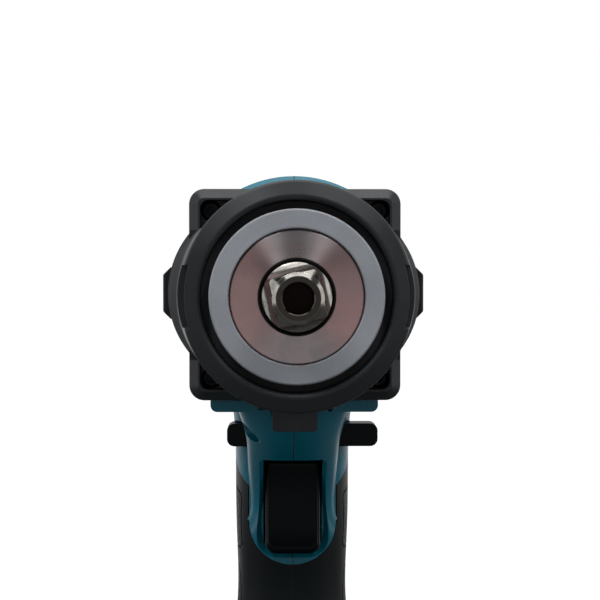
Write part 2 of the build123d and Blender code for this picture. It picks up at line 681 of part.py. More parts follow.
def stator_core():
    body = tube(STATOR_R, YOKE_R, STACK_START, STACK_END)
    shoe = tube(STATOR_BORE_R + 1.6, STATOR_BORE_R, STACK_START, STACK_END)
    gap = Pos(STATOR_BORE_R, 0, STACK_START - 1) * Box(8, 3.0, STACK_LENGTH + 2, align=BASE)
    tooth = Pos((STATOR_BORE_R + YOKE_R) / 2 + 0.8, 0, STACK_START) * Box(
        YOKE_R - STATOR_BORE_R, TOOTH_WIDTH, STACK_LENGTH, align=BASE)
    for copy in polar(STATOR_TEETH, gap, 30):
        shoe -= copy
    for copy in polar(STATOR_TEETH, tooth):
        body += copy - tube(STATOR_BORE_R + 0.5, 0, STACK_START - 1, STACK_END + 1)
    return body + shoe


def windings():
    width = TOOTH_WIDTH + 4.4
    depth = YOKE_R - STATOR_BORE_R - 2.8
    middle = (YOKE_R + STATOR_BORE_R) / 2 + 0.4
    length = STACK_LENGTH + 2 * WINDING_OVERHANG
    loop = extrude(Plane.YZ * RectangleRounded(width, length, 2.2), depth / 2, both=True)
    loop -= Box(depth + 2, TOOTH_WIDTH + 0.4, STACK_LENGTH + 1.2)
    return group(*polar(STATOR_TEETH, Pos(middle, 0, (STACK_START + STACK_END) / 2) * loop))


def winding_formers():
    front = tube(STATOR_R - 0.4, YOKE_R + 0.4, STACK_START - WINDING_OVERHANG + 0.6, STACK_START)
    rear = tube(STATOR_R - 0.4, YOKE_R + 0.4, STACK_END, WINDING_END)
    return group(front, rear)


def sensor_board():
    start = WINDING_END
    board = tube(STATOR_R - 0.4, 9.0, start, start + 1.4)
    chip = Pos(16, 0, start + 1.4) * Box(4, 3, 1.0, align=BASE)
    for copy in polar(3, chip, 90):
        board += copy
    return board


def rear_cover():
    shell = tube(BARREL_REAR_R, 0, BARREL_END, TOOL_END)
    shell = fillet(circles(shell, BARREL_REAR_R, TOOL_END), 9.0)
    wall = HOUSING_WALL
    room = tube(BARREL_REAR_R - wall, 0, BARREL_END - 1, TOOL_END - wall)
    room = fillet(circles(room, BARREL_REAR_R - wall, TOOL_END - wall), 9.0 - wall)
    body = shell - room
    boss = tube(MOTOR_BEARING_R + 2.4, 0, REAR_BEARING_START, TOOL_END - wall + 1)
    boss -= tube(MOTOR_BEARING_R + FIT, 0, REAR_BEARING_START - 1, SHAFT_END + 0.4)
    body += boss
    vent = Pos(18.5, 0, TOOL_END - wall - 1) * extrude(SlotOverall(9.0, 2.4), 3 * wall)
    for copy in polar(12, vent, 15):
        body -= copy
    for x in (-1, 1):
        post = tube(4.2, 0, BARREL_END, TOOL_END - 3) - tube(3.4, 0, BARREL_END + 6, TOOL_END)
        place = Pos(x * REAR_SCREW_X, 0, 0)
        body -= place * tube(3.4, 0, BARREL_END + 6, TOOL_END + 1)
        body += place * post & shell
        body -= place * tube(1.8, 0, BARREL_END - 1, TOOL_END)
    return body


REAR_SCREW_X = 29.0


# Housing, in two halves
SURROUND_BOTTOM = TRIGGER_BOTTOM - 4.5
SWITCH_FRONT = TRIGGER_FRONT + TRIGGER_DEPTH + TRIGGER_TRAVEL + 1.0
SWITCH_TOP = LEVER_LEVEL - LEVER_HEIGHT / 2 - 1.6
CHANNEL_TOP = FOOT_BOTTOM + RAIL_HEIGHT
CHANNEL_REAR = FOOT_REAR - 15.0
RAIL_LIP = 3.0
FLOOR = 2.0
LEAD_STATION = SWITCH_FRONT + SWITCH_DEPTH + 4.5
LEAD_PLACES = (-4.0, 0.0, 4.0)
BOSS_R = 4.2
JOIN_SEAT = -7.0           # x of the screw heads' seats in the left half
JOIN_LENGTH = 14.0
JOIN_SCREWS = ((COVER_LENGTH + 16.5, up(NECK_FOOT + 9)),
               (LEVER_STATION + 12, up(NECK_FOOT + 11)), (STACK_START + 1, up(BARREL_R - 6)),
               (FAN_START + 2, up(BARREL_R - 6)), (FOOT_FRONT + 6.5, FOOT_SIDE_TOP - 5.5),
               (FOOT_REAR - 7, FOOT_SIDE_TOP - 7.5), (92.5, FOOT_TOP + 9))


def level_section(z, front, rear, width, corner):
    """Rounded rectangle on a level plane between two stations."""
    return Pos(0, at((front + rear) / 2), z) * RectangleRounded(width, rear - front, corner)


def spine_form(inset):
    """Narrow front of the neck, which curves back over the trigger and down round it."""
    rows = ((NECK_FOOT + 32, 47.0, 12, 0), (NECK_FOOT + 24, 47.4, 10, 0), (NECK_FOOT + 16, 49.5, 5, 0),
            (NECK_FOOT + 8, 55.5, 0.6, 0), (NECK_FOOT, 66.0, -0.6, 1), (NECK_FOOT - 8, 74.6, -1.2, 3),
            (NECK_FOOT - 18, 79.2, -1.4, 5), (SURROUND_BOTTOM - 2, 81.4, -1.4, 6))
    return loft([level_section(up(level), front + inset, HANDLE_MIDDLE, SPINE_WIDTH + wider - 2 * inset,
                               SPINE_CORNER - sharper - inset) for level, front, wider, sharper in rows])


def spine_body():
    """Neck front with its rounded foot and the bevelled mouth round the trigger."""
    half = SURROUND_WIDTH / 2
    foot = block(-SPINE_WIDTH, SPINE_WIDTH, TRIGGER_FRONT, HANDLE_MIDDLE + 1, up(SURROUND_BOTTOM - 5),
                 up(SURROUND_BOTTOM + half))
    body = spine_form(0) - (foot - surround_prism(half, SURROUND_BOTTOM))
    bevel = side_bevel()
    return body - bevel - mirror(bevel, Plane.YZ) - foot_bevel()


def side_bevel():
    """Three-sided cutter that follows the neck's front down one side of the trigger."""
    side = TRIGGER_WIDTH / 2 + TRIGGER_CLEARANCE
    rows = ((TRIGGER_TOP, 69.0), (NECK_FOOT - 8, 76.0), (NECK_FOOT - 18, 80.0), (SURROUND_BOTTOM + 12, 81.0))
    faces = []
    for level, front in rows:
        outline = Polyline((side - 0.2, at(front - 2)), (side + TRIGGER_BEVEL + 2, at(front - 2)),
                           (side - 0.2, at(front + TRIGGER_BEVEL + 0.2)), close=True)
        faces.append(Plane.XY.offset(up(level)) * make_face(outline))
    return loft(faces)


def foot_bevel():
    """Funnel round the lower end of the trigger's mouth."""
    mouth = trigger_mouth()
    wide = offset(mouth, TRIGGER_BEVEL + 2, kind=Kind.INTERSECTION)
    funnel = loft([facing(79.0) * wide, facing(81.0 + TRIGGER_BEVEL) * mouth])
    return funnel - block(-FOOT_WIDTH, FOOT_WIDTH, 0, FOOT_REAR, up(SURROUND_BOTTOM + 12), up(0))


def handle_form(inset):
    """Grip and the wide rear of the neck, flaring into the barrel above and the foot below."""
    low = FOOT_TOP - AXIS_HEIGHT
    span = NECK_FOOT - low
    rows = ((NECK_FOOT + 30, 74.0, BARREL_END - 3, 6.0), (NECK_FOOT + 19, 77.0, 128.6, 3.2),
            (NECK_FOOT + 8, 80.0, 127.5, 1.0), (NECK_FOOT - 0.28 * span, 80.5, 126.5, 0.0),
            (NECK_FOOT - 0.6 * span, 84.5, 126.0, -1.0), (NECK_FOOT - 0.85 * span, 87.0, 129.0, 0.0),
            (low - 6, 84.0, 134.0, 5.0))
    return loft([level_section(up(level), front + inset, rear - inset, GRIP_WIDTH + wider - 2 * inset,
                               HANDLE_CORNER - inset) for level, front, rear, wider in rows])


def foot_form(inset):
    width = FOOT_WIDTH - 2 * inset
    edges = (FOOT_FRONT + inset, FOOT_REAR - inset, width, 12 - inset)
    sides = extrude(level_section(FOOT_BOTTOM, *edges), FOOT_SIDE_HEIGHT - inset)
    low = level_section(FOOT_SIDE_TOP - inset, *edges)
    high = level_section(FOOT_TOP - inset, FOOT_FRONT + 27 + inset, FOOT_REAR - 4 - inset,
                         GRIP_WIDTH + 8 - 2 * inset, HANDLE_CORNER - inset)
    return sides + loft([low, high])


def barrel_form(inset):
    taper = BARREL_END - 10
    radius = BARREL_R - inset
    return turned((0, COVER_LENGTH), (radius - BARREL_BEVEL, COVER_LENGTH),
                  (radius, COVER_LENGTH + BARREL_BEVEL), (radius, taper),
                  (BARREL_REAR_R - inset, BARREL_END), (0, BARREL_END))


def facing(station):
    """Plane square to the drive line, seen from behind, with world heights."""
    return Plane(origin=(0, at(station), 0), x_dir=(-1, 0, 0), z_dir=(0, 1, 0))


def surround_prism(half_width, bottom):
    """Prism along the drive with the U outline of the trigger surround."""
    middle = bottom + half_width
    outline = Pos(0, up(middle / 2)) * Rectangle(2 * half_width, -middle)
    outline += Pos(0, up(middle)) * Circle(half_width)
    return extrude(facing(0) * outline, HANDLE_MIDDLE - 4)


def grip_body():
    low = FOOT_TOP - AXIS_HEIGHT + 1.5
    region = side_prism(FOOT_WIDTH, (70, NECK_FOOT - 18), (84, NECK_FOOT - 11.5), (90, NECK_FOOT - 6.5),
                        (95, NECK_FOOT - 2.2), (104, NECK_FOOT + 0.5), (150, NECK_FOOT + 2),
                        (150, low), (70, low))
    skin = handle_form(0) - handle_form(GRIP_SKIN)
    return (skin & region) - surround_prism(SURROUND_WIDTH / 2, SURROUND_BOTTOM)


def grip_halves(body):
    seam = surround_prism(SURROUND_WIDTH / 2 + 0.35, SURROUND_BOTTOM - 0.35)
    return halves(body - seam - join_holes() - panel_grooves())


# Outlines of the grip's side panels as stations and levels
UPPER_PANEL = ((87.5, NECK_FOOT - 14), (97, NECK_FOOT - 10), (121, NECK_FOOT - 7), (121, NECK_FOOT - 32.6),
               (90.5, NECK_FOOT - 32.6))
LOWER_PANEL = ((95, NECK_FOOT - 38), (121, NECK_FOOT - 38), (122, NECK_FOOT - 73), (97, NECK_FOOT - 73))


def panel_grooves():
    """Shallow grooves that frame the two panels on each side of the grip."""
    frames = Part()
    for outline in (UPPER_PANEL, LOWER_PANEL):
        face = make_face(Polyline(*[(at(station), up(level)) for station, level in outline], close=True))
        face = fillet(face.vertices(), PANEL_CORNER)
        frames += extrude(Plane.YZ * (face - offset(face, -PANEL_GROOVE)), FOOT_WIDTH, both=True)
    return frames & (handle_form(-1) - handle_form(PANEL_GROOVE))


def switch_box(margin):
    half = SWITCH_WIDTH / 2 + margin
    return block(-half, half, SWITCH_FRONT - margin, SWITCH_FRONT + SWITCH_DEPTH + margin,
                 up(SWITCH_TOP - SWITCH_HEIGHT) - margin, up(SWITCH_TOP) + margin)


def housing_body(grip):
    outer = (DRIVE_LINE * barrel_form(0)) + spine_body() + handle_form(0) + foot_form(0)
    flange = extrude(RectangleRounded(FLANGE_SIDE, FLANGE_SIDE, FLANGE_CORNER), HOUSING_FLANGE)
    outer += DRIVE_LINE * Pos(0, 0, COVER_LENGTH) * flange
    keel = block(-KEEL_HALF_WIDTH, KEEL_HALF_WIDTH, COVER_LENGTH, COVER_LENGTH + KEEL_LENGTH,
                 up(KEEL_LEVEL), up(KEEL_LEVEL + KEEL_THICKNESS))
    outer += fillet(keel.edges().filter_by(Axis.Y).group_by(Axis.Z)[0], KEEL_THICKNESS * 0.6)
    outer -= grip

    # Hollow inside
    wall = HOUSING_WALL
    collar_end = COVER_LENGTH + HOUSING_FLANGE + 3
    inside = tube(CASE_R + 0.4, 0, COVER_LENGTH - 1, collar_end + 1)
    inside += turned((0, collar_end), (BARREL_R - wall, collar_end), (BARREL_R - wall, BARREL_END - 10),
                     (BARREL_REAR_R - wall, BARREL_END), (BARREL_REAR_R - wall, BARREL_END + 1),
                     (0, BARREL_END + 1))
    neck_room = spine_form(wall) - block(-FOOT_WIDTH, FOOT_WIDTH, 0, collar_end, 0, 2 * AXIS_HEIGHT)
    hollow = (DRIVE_LINE * inside) + neck_room + handle_form(GRIP_SKIN + wall) + foot_form(wall)
    shell = outer - hollow

    # Saddles for the bearing plate and the stator, with a way for the motor leads
    ribs = tube(BARREL_R - 1, CASE_R + 1.5 + FIT, PLATE_START + 0.5, PLATE_END - 0.5)
    ribs += tube(BARREL_R - 1, STATOR_R + FIT, STACK_START + 1, STACK_START + 3.5)
    ribs += tube(BARREL_R - 1, STATOR_R + FIT, STACK_END - 3.5, STACK_END - 1)
    for x in (-1, 1):
        ribs += Pos(x * REAR_SCREW_X, 0, 0) * tube(3.8, 0, BARREL_END - 9, BARREL_END)
    ribs = DRIVE_LINE * (ribs & barrel_form(1.0))
    ribs -= block(-7, 7, STACK_START + 10, BARREL_END, up(-BARREL_R - 5), up(-20))

    # Shelves round the switch and the floor over the battery channel
    across = FOOT_WIDTH / 2
    shelf = Part()
    for level in (SWITCH_TOP - 4.5, SWITCH_TOP - SWITCH_HEIGHT + 2.5):
        shelf += block(-across, across, SWITCH_FRONT + 3, FOOT_REAR, up(level), up(level + 2))
    shelf &= handle_form(GRIP_SKIN + wall - 0.5)
    shelf -= switch_box(FIT) + block(-7, 7, SWITCH_FRONT + SWITCH_DEPTH - 1, FOOT_REAR, 0, AXIS_HEIGHT)
    floor = block(-FOOT_WIDTH, FOOT_WIDTH, FOOT_FRONT - 5, FOOT_REAR + 5, FOOT_BOTTOM, CHANNEL_TOP + FLOOR)
    boss = Rot(0, 90, 0) * Cylinder(BOSS_R, FOOT_WIDTH)
    bosses = Compound(children=[Pos(0, at(station), z) * boss for station, z in JOIN_SCREWS])
    shell += ribs + shelf + (floor & foot_form(wall - 0.5)) + (bosses & outer)

    # Openings for the lever, trigger, battery, tongue, panel, screws and cooling air
    shell -= lever_bar(GAP, 2 * FOOT_WIDTH)
    shell -= trigger_opening()
    side = RAIL_WIDTH + 0.4
    stem = RAIL_STEM + 0.4
    shell -= block(-side, side, FOOT_FRONT - 5, CHANNEL_REAR, FOOT_BOTTOM + RAIL_LIP, CHANNEL_TOP)
    shell -= block(-stem, stem, FOOT_FRONT - 5, CHANNEL_REAR, FOOT_BOTTOM - 1, CHANNEL_TOP)
    half = TONGUE_WIDTH / 2 + 0.4
    shell -= block(-half, half, COVER_LENGTH - 1, COVER_LENGTH + TONGUE_SEAT + 0.4,
                   up(TONGUE_LEVEL - 0.5), up(TONGUE_ROOT + 0.3))
    shell -= block(-half - TONGUE_SLIT, 0, COVER_LENGTH - 1, COVER_LENGTH + 2,
                   up(SLIT_LEVEL - 0.35), up(SLIT_LEVEL + 0.35))
    eye = Pos(-half - TONGUE_SLIT, up(SLIT_LEVEL)) * Circle(0.9)
    shell -= extrude(facing(COVER_LENGTH - 1) * eye, 4.0)
    shell -= panel_plane() * Pos(0, 0, -PANEL_DEPTH) * extrude(RectangleRounded(22.4, 15.4, 2.2), 5.0)
    for place in cover_screw_places():
        pilot = tube(SCREW_R + 0.05, 0, COVER_LENGTH - 1, COVER_LENGTH + HOUSING_FLANGE - 1)
        shell -= DRIVE_LINE * place * pilot
    for x in (-1, 1):
        shell -= DRIVE_LINE * Pos(x * REAR_SCREW_X, 0, 0) * tube(1.55, 0, BARREL_END - 8.4, BARREL_END + 1)
    for x in (-1, 1):
        shell -= Pos(x * FOOT_WIDTH / 2, at(HOOK_STATION), HOOK_HEIGHT) * Rot(0, 90, 0) * Cylinder(
            HOOK_THREAD_R, 2 * HOOK_DEPTH)
    return shell - vent_slots() - join_holes()


HOOK_STATION = FOOT_FRONT + 48
HOOK_HEIGHT = FOOT_BOTTOM + 7.5
HOOK_THREAD_R = 2.0
HOOK_DEPTH = 6.0


def join_holes():
    """Clearance holes and counterbores of the joining screws, from the left side."""
    reach = FOOT_WIDTH
    hole = Cylinder(3.1, reach, align=(Align.CENTER, Align.CENTER, Align.MAX)) + Cylinder(
        1.55, JOIN_LENGTH + 0.3, align=BASE)
    places = [Pos(JOIN_SEAT, at(station), z) * Rot(0, 90, 0) for station, z in JOIN_SCREWS]
    return Compound(children=[place * hole for place in places])


def housing_screws():
    """Screws that join the halves, and the same screws in the rear cover."""
    bolt = screw(1.5, JOIN_LENGTH, 2.8, 2.2)
    places = [Pos(JOIN_SEAT, at(station), z) * Rot(0, 90, 0) for station, z in JOIN_SCREWS]
    places += [DRIVE_LINE * Pos(x * REAR_SCREW_X, 0, BARREL_END + 6) * Rot(180, 0, 0) for x in (-1, 1)]
    return group(*[place * bolt for place in places])


def trigger_mouth():
    """Outline round the trigger, with rounded lower corners."""
    width = TRIGGER_WIDTH + 2 * TRIGGER_CLEARANCE
    height = TRIGGER_TOP - TRIGGER_BOTTOM + 2 * TRIGGER_CLEARANCE
    outline = Pos(0, up((TRIGGER_TOP + TRIGGER_BOTTOM) / 2)) * Rectangle(width, height)
    return fillet(outline.vertices().group_by(Axis.Y)[0], TRIGGER_CORNER + TRIGGER_CLEARANCE)


def trigger_opening():
    """Mouth round the trigger and the room it moves in."""
    depth = TRIGGER_BACK + TRIGGER_TRAVEL + 1 - COVER_LENGTH
    return extrude(facing(COVER_LENGTH) * trigger_mouth(), depth)


def vent_slots():
    middle = at((FAN_START + FAN_END) / 2)
    slots = []
    for level in (-10.5, -3.5, 3.5, 10.5):
        slot = extrude(Plane.YZ * (Pos(middle, up(level)) * SlotOverall(12.0, 2.4)), 3 * BARREL_R, both=True)
        slots.append(slot - DRIVE_LINE * tube(BARREL_R - 5, 0, 0, TOOL_END))
    return Compound(children=[solid for slot in slots for solid in slot.solids()])


# Side pads with a raised rib
def side_pad(side):
    start = COVER_LENGTH + HOUSING_FLANGE + 1
    end = BARREL_END - 18
    centre = BARREL_R + PAD_RISE - PAD_CURVE
    band = Pos(BARREL_R, 0, start) * Box(2 * BARREL_R, 2 * PAD_HALF_HEIGHT, end - start, align=BASE)
    pad = Pos(centre, 0, start) * Cylinder(PAD_CURVE, end - start, align=BASE) & band
    pad = fillet([edge for edge in pad.edges() if on_radius(edge, centre, PAD_CURVE)], PAD_ROUND)
    foot = RIB_HALF_HEIGHT + RIB_SPREAD
    section = Polygon((BARREL_R - 3, -foot), (BARREL_R + RIB_RISE - RIB_SPREAD, -foot),
                      (BARREL_R + RIB_RISE, -RIB_HALF_HEIGHT), (BARREL_R + RIB_RISE, RIB_HALF_HEIGHT),
                      (BARREL_R + RIB_RISE - RIB_SPREAD, foot), (BARREL_R - 3, foot), align=None)
    rib = extrude(Pos(0, 0, start + 3) * section, RIB_LENGTH)
    rib = fillet(rib.faces().sort_by(Axis.X)[-1].edges(), RIB_ROUND)
    turn = 0 if side < 0 else 180
    body = pad + rib - tube(BARREL_R + 0.02, 0, start - 1, end + 1)
    return DRIVE_LINE * Rot(0, 0, turn) * body - vent_slots()


def on_radius(edge, centre, radius):
    """Whether both ends of an edge lie at one distance from a line along local z through the centre's x."""
    ends = (edge @ 0, edge @ 1)
    return all(abs(((end.X - centre) ** 2 + end.Y ** 2) ** 0.5 - radius) < 1e-3 for end in ends)


# Controls
PLUNGER_LEVEL = (TRIGGER_TOP + TRIGGER_BOTTOM) / 2
PLUNGER_R = 2.6
TRIGGER_BACK = TRIGGER_FRONT + TRIGGER_DEPTH


def along(start, level=PLUNGER_LEVEL):
    """Place a shape modelled on local z so that it runs back from a station at one level."""
    return Pos(0, at(start), up(level)) * Rot(-90, 0, 0)


def trigger():
    front = TRIGGER_FRONT
    curve = Spline((at(front + 2.2), up(TRIGGER_TOP)), (at(front + 3.4), up(TRIGGER_TOP - 11)),
                   (at(front + 3.0), up(TRIGGER_TOP - 20)), (at(front + 0.6), up(TRIGGER_BOTTOM)))
    rest = Polyline((at(front + 0.6), up(TRIGGER_BOTTOM)), (at(TRIGGER_BACK), up(TRIGGER_BOTTOM)),
                    (at(TRIGGER_BACK), up(TRIGGER_TOP)), (at(front + 2.2), up(TRIGGER_TOP)))
    body = extrude(Plane.YZ * make_face(curve + rest), TRIGGER_WIDTH / 2, both=True)
    body = fillet(body.edges().filter_by(Axis.Y).group_by(Axis.Z)[0], TRIGGER_CORNER)
    face = min(body.faces(), key=lambda one: one.center().Y)
    body = fillet(face.edges(), TRIGGER_ROUND)
    return body - along(TRIGGER_BACK - 4) * Cylinder(5.2, 5.0, align=BASE)


def switch_plunger():
    return along(TRIGGER_BACK - 4) * Cylinder(PLUNGER_R, SWITCH_FRONT + 8 - TRIGGER_BACK, align=BASE)


def trigger_spring():
    start = TRIGGER_BACK - 4
    return along(start) * coil(4.1, 0.5, 0.05, SWITCH_FRONT - start - 0.05, 6)


def switch_body():
    body = fillet(switch_box(0).edges().filter_by(Axis.X), 1.5)
    body -= along(SWITCH_FRONT - 1) * Cylinder(PLUNGER_R + 0.2, 6 + TRIGGER_TRAVEL, align=BASE)
    back = LEVER_STATION + LEVER_DEPTH / 2
    return body + block(-3, 3, back + 3.5, back + 9, up(SWITCH_TOP) - 1, up(SWITCH_TOP) + 1.2)


def lever_bar(margin, length):
    half = LEVER_DEPTH / 2 + margin
    rise = LEVER_HEIGHT / 2 + margin
    return block(-length / 2, length / 2, LEVER_STATION - half, LEVER_STATION + half,
                 up(LEVER_LEVEL - rise), up(LEVER_LEVEL + rise))


def reversing_lever():
    bar = lever_bar(0, LEVER_LENGTH)
    bar = fillet(bar.edges().filter_by(Axis.Y), 2.4)
    return Pos(LEVER_OFFSET, 0, 0) * bar


# Foot: controller, terminals and mode panel
PANEL_DEPTH = 1.8
PANEL_BUTTONS = (-5.5, 5.5)
TERMINAL_PLACES = (-14.0, 0.0, 14.0)


def panel_plane():
    """Outer face of the panel, flush with the sloping front of the foot."""
    slope = Vector(0, 27.0, FOOT_SHOULDER).normalized()
    middle = (0, at(FOOT_FRONT + 13.5), FOOT_SIDE_TOP + FOOT_SHOULDER / 2)
    return Location(Plane(origin=middle, x_dir=(1, 0, 0), z_dir=(0, -slope.Z, slope.Y)))


def mode_panel():
    body = extrude(RectangleRounded(22, 15, 2), PANEL_DEPTH)
    for x in PANEL_BUTTONS:
        body -= Pos(x, -2, -1) * extrude(RectangleRounded(7.6, 6.6, 1.2), PANEL_DEPTH + 2)
    return panel_plane() * Pos(0, 0, -PANEL_DEPTH) * body


def mode_button(x):
    cap = extrude(RectangleRounded(7, 6, 1), PANEL_DEPTH - 0.1)
    cap = fillet(cap.faces().sort_by(Axis.Z)[-1].edges(), 0.4)
    return panel_plane() * Pos(x, -2, 0.9 - PANEL_DEPTH) * cap


def controller():
    bottom = CHANNEL_TOP + FLOOR
    body = block(-24, 24, FOOT_FRONT + 16, FOOT_REAR - 20, bottom, bottom + 8)
    return fillet(body.edges().filter_by(Axis.Z), 2.0)


def motor_leads():
    leads = []
    top = -STATOR_R - 1.0
    foot = CHANNEL_TOP + FLOOR + 8 + 0.05
    for x in LEAD_PLACES:
        points = [(x, at(WINDING_END - 2.5), up(top)), (x, at(LEAD_STATION + 1.5), up(top - 4)),
                  (x, at(LEAD_STATION), up(NECK_FOOT)), (x, at(LEAD_STATION), FOOT_TOP + 16),
                  (x, at(LEAD_STATION - 8), foot + 6), (x, at(LEAD_STATION - 8), foot)]
        path = FilletPolyline(*points, radius=4.0)
        section = Plane(origin=path @ 0, z_dir=path % 0) * Circle(1.2)
        leads.append(sweep(section, path=path))
    return group(*leads)


def terminals():
    """Insulating block with the blades that enter the battery."""
    body = block(-22, 22, CHANNEL_REAR - 4.5, CHANNEL_REAR, FOOT_BOTTOM + RAIL_LIP + 0.2, CHANNEL_TOP)
    for x in TERMINAL_PLACES:
        body -= terminal_blade(x, 0.05)
    return group(body, *[terminal_blade(x, 0) for x in TERMINAL_PLACES])


def terminal_blade(x, margin):
    half = 0.45 + margin
    return block(x - half, x + half, CHANNEL_REAR - 16, CHANNEL_REAR - 1 + margin,
                 FOOT_BOTTOM + RAIL_LIP + 1.2 - margin, CHANNEL_TOP - 1.4 + margin)


# Battery
SLIDER_FRONT = FOOT_FRONT + 7.0
SLIDER_REAR = CHANNEL_REAR - 5.0
LATCH_TRAVEL = 4.0
LATCH_TOP = BATTERY_HEIGHT - 4
LATCH_BOTTOM = BATTERY_LOWER + 6.5
HOOK_FRONT = FOOT_FRONT + 1.5
CELL_BASE = BATTERY_WALL + 0.6
CELL_TOP = CELL_BASE + 2 * CELL_R + CELL_PITCH
POST_PLACES = [(x, y) for x in (-30.5, 30.5) for y in (-50.0, 50.0)]
POST_R = 3.7


def battery_section(z, inset):
    width = BATTERY_WIDTH - 2 * inset
    return level_section(z, BATTERY_FRONT + inset, BATTERY_REAR - inset, width, 9.0 - inset)


def finger_groove(level):
    """One groove with round ends in both sides of the battery."""
    middle = at((BATTERY_FRONT + BATTERY_REAR) / 2)
    outline = Plane.YZ * (Pos(middle, level) * SlotOverall(GROOVE_LENGTH, GROOVE_WIDTH))
    core = BATTERY_WIDTH / 2 - GROOVE_DEPTH
    return extrude(outline, BATTERY_WIDTH, both=True) - block(
        -core, core, BATTERY_FRONT, BATTERY_REAR, 0, BATTERY_LOWER)


def battery_lower():
    body = extrude(battery_section(0, 0), BATTERY_LOWER)
    body = fillet(body.faces().sort_by(Axis.Z)[0].edges(), 2.0)
    body = chamfer(body.faces().sort_by(Axis.Z)[-1].edges(), BATTERY_SEAM)
    for row in range(GROOVE_COUNT):
        body -= finger_groove(GROOVE_LEVEL + row * GROOVE_PITCH)
    body -= extrude(battery_section(BATTERY_WALL, BATTERY_WALL), BATTERY_LOWER)
    for x, y in POST_PLACES:
        body += Pos(x, y, 1) * Cylinder(POST_R, BATTERY_LOWER - 1, align=BASE)
        body -= Pos(x, y, -1) * Cylinder(2.8, 4.2, align=BASE)
        body -= Pos(x, y, 0) * Cylinder(1.6, BATTERY_LOWER + 1, align=BASE)
    return body


def battery_upper():
    height = BATTERY_HEIGHT - BATTERY_LOWER
    body = extrude(battery_section(BATTERY_LOWER, 0), height)
    body = fillet(body.faces().sort_by(Axis.Z)[-1].edges(), 2.0)
    body -= extrude(battery_section(BATTERY_LOWER - 1, BATTERY_WALL), height + 1 - BATTERY_WALL)
    stem_top = FOOT_BOTTOM + RAIL_LIP + 0.4
    body += block(-RAIL_STEM, RAIL_STEM, SLIDER_FRONT, SLIDER_REAR, BATTERY_HEIGHT - 1, stem_top + 1)
    body += block(-RAIL_WIDTH, RAIL_WIDTH, SLIDER_FRONT, SLIDER_REAR, stem_top, CHANNEL_TOP - 0.4)
    for x in TERMINAL_PLACES:
        body -= block(x - 1.3, x + 1.3, CHANNEL_REAR - 18, SLIDER_REAR + 1, stem_top + 0.2, CHANNEL_TOP)
    for x, y in POST_PLACES:
        body += Pos(x, y, BATTERY_LOWER) * Cylinder(POST_R, height - 1, align=BASE)
        body -= Pos(x, y, BATTERY_LOWER - 1) * Cylinder(1.6, 9.0, align=BASE)

    # Window, seat and deck slot of the release latch, and the gauge recess
    body -= block(-13.3, 13.3, BATTERY_FRONT - 2, BATTERY_FRONT + BATTERY_WALL + 1,
                  LATCH_BOTTOM - LATCH_TRAVEL - 0.4, LATCH_TOP + GAP)
    body += block(-6, 6, BATTERY_FRONT + 1, BATTERY_FRONT + 13, BATTERY_LOWER, BATTERY_LOWER + 1.6)
    body -= block(-6.4, 6.4, HOOK_FRONT - 0.4, HOOK_FRONT + 3.4, BATTERY_HEIGHT - 5, BATTERY_HEIGHT + 1)
    gauge = facing(BATTERY_REAR - 1.4) * (Pos(0, GAUGE_HEIGHT) * RectangleRounded(30.4, 8.4, 2.2))
    return body - extrude(gauge, 5.0)


GAUGE_HEIGHT = BATTERY_LOWER + 9.0


def gauge_panel():
    body = extrude(facing(BATTERY_REAR - 1.4) * (Pos(0, GAUGE_HEIGHT) * RectangleRounded(30, 8, 2)), 1.4)
    body -= extrude(facing(BATTERY_REAR - 2) * (Pos(9.5, GAUGE_HEIGHT) * Circle(2.8)), 3.0)
    return body


def gauge_button():
    return extrude(facing(BATTERY_REAR - 0.7) * (Pos(9.5, GAUGE_HEIGHT) * Circle(2.5)), 1.3)


def release_latch():
    cap = block(-13, 13, BATTERY_FRONT - 1.2, BATTERY_FRONT + BATTERY_WALL + 1, LATCH_BOTTOM, LATCH_TOP)
    cap = fillet(cap.edges().filter_by(Axis.Y), 1.2)
    arm = block(-6, 6, BATTERY_FRONT + BATTERY_WALL, HOOK_FRONT + 3, LATCH_BOTTOM + 1, LATCH_BOTTOM + 4)
    hook = block(-6, 6, HOOK_FRONT, HOOK_FRONT + 3, LATCH_BOTTOM + 1, FOOT_BOTTOM + 2)
    return cap + arm + hook


def latch_spring():
    start = BATTERY_LOWER + 1.6
    place = Pos(0, at(BATTERY_FRONT + 8), start)
    return place * coil(2.6, 0.4, 0.05, LATCH_BOTTOM + 1 - start - 0.05, 3)


def cell_places():
    return [Pos(0, (column - 2) * CELL_PITCH, CELL_BASE + CELL_R + row * CELL_PITCH) * Rot(0, 90, 0)
            for row in range(2) for column in range(5)]


def battery_cells():
    return group(*[place * Cylinder(CELL_R, CELL_LENGTH) for place in cell_places()])


def cell_holders():
    plates = []
    for x in (-1, 1):
        plate = Pos(x * (CELL_LENGTH / 2 - 7), 0, BATTERY_WALL) * Box(
            3.0, 4 * CELL_PITCH + 2 * CELL_R + 1.2, CELL_TOP + 0.6 - BATTERY_WALL, align=BASE)
        for place in cell_places():
            plate -= place * Cylinder(CELL_R + FIT, CELL_LENGTH)
        plates.append(plate)
    return group(*plates)


def battery_board():
    return Pos(0, 0, CELL_TOP + 0.6) * Box(54, 4 * CELL_PITCH + 10, 1.6, align=BASE)


def battery_contacts():
    leaves = []
    top = FOOT_BOTTOM + RAIL_LIP + 0.7
    for x in TERMINAL_PLACES:
        for side in (-1, 1):
            middle = x + side * 0.9
            leaves.append(block(middle - 0.3, middle + 0.3, CHANNEL_REAR - 17.5, SLIDER_REAR - 1,
                                top, CHANNEL_TOP - 0.8))
    return group(*leaves)


def battery_screws():
    bolt = screw(1.5, BATTERY_LOWER + 3, 2.5, 2.0)
    return group(*[Pos(x, y, 3.2) * bolt for x, y in POST_PLACES])


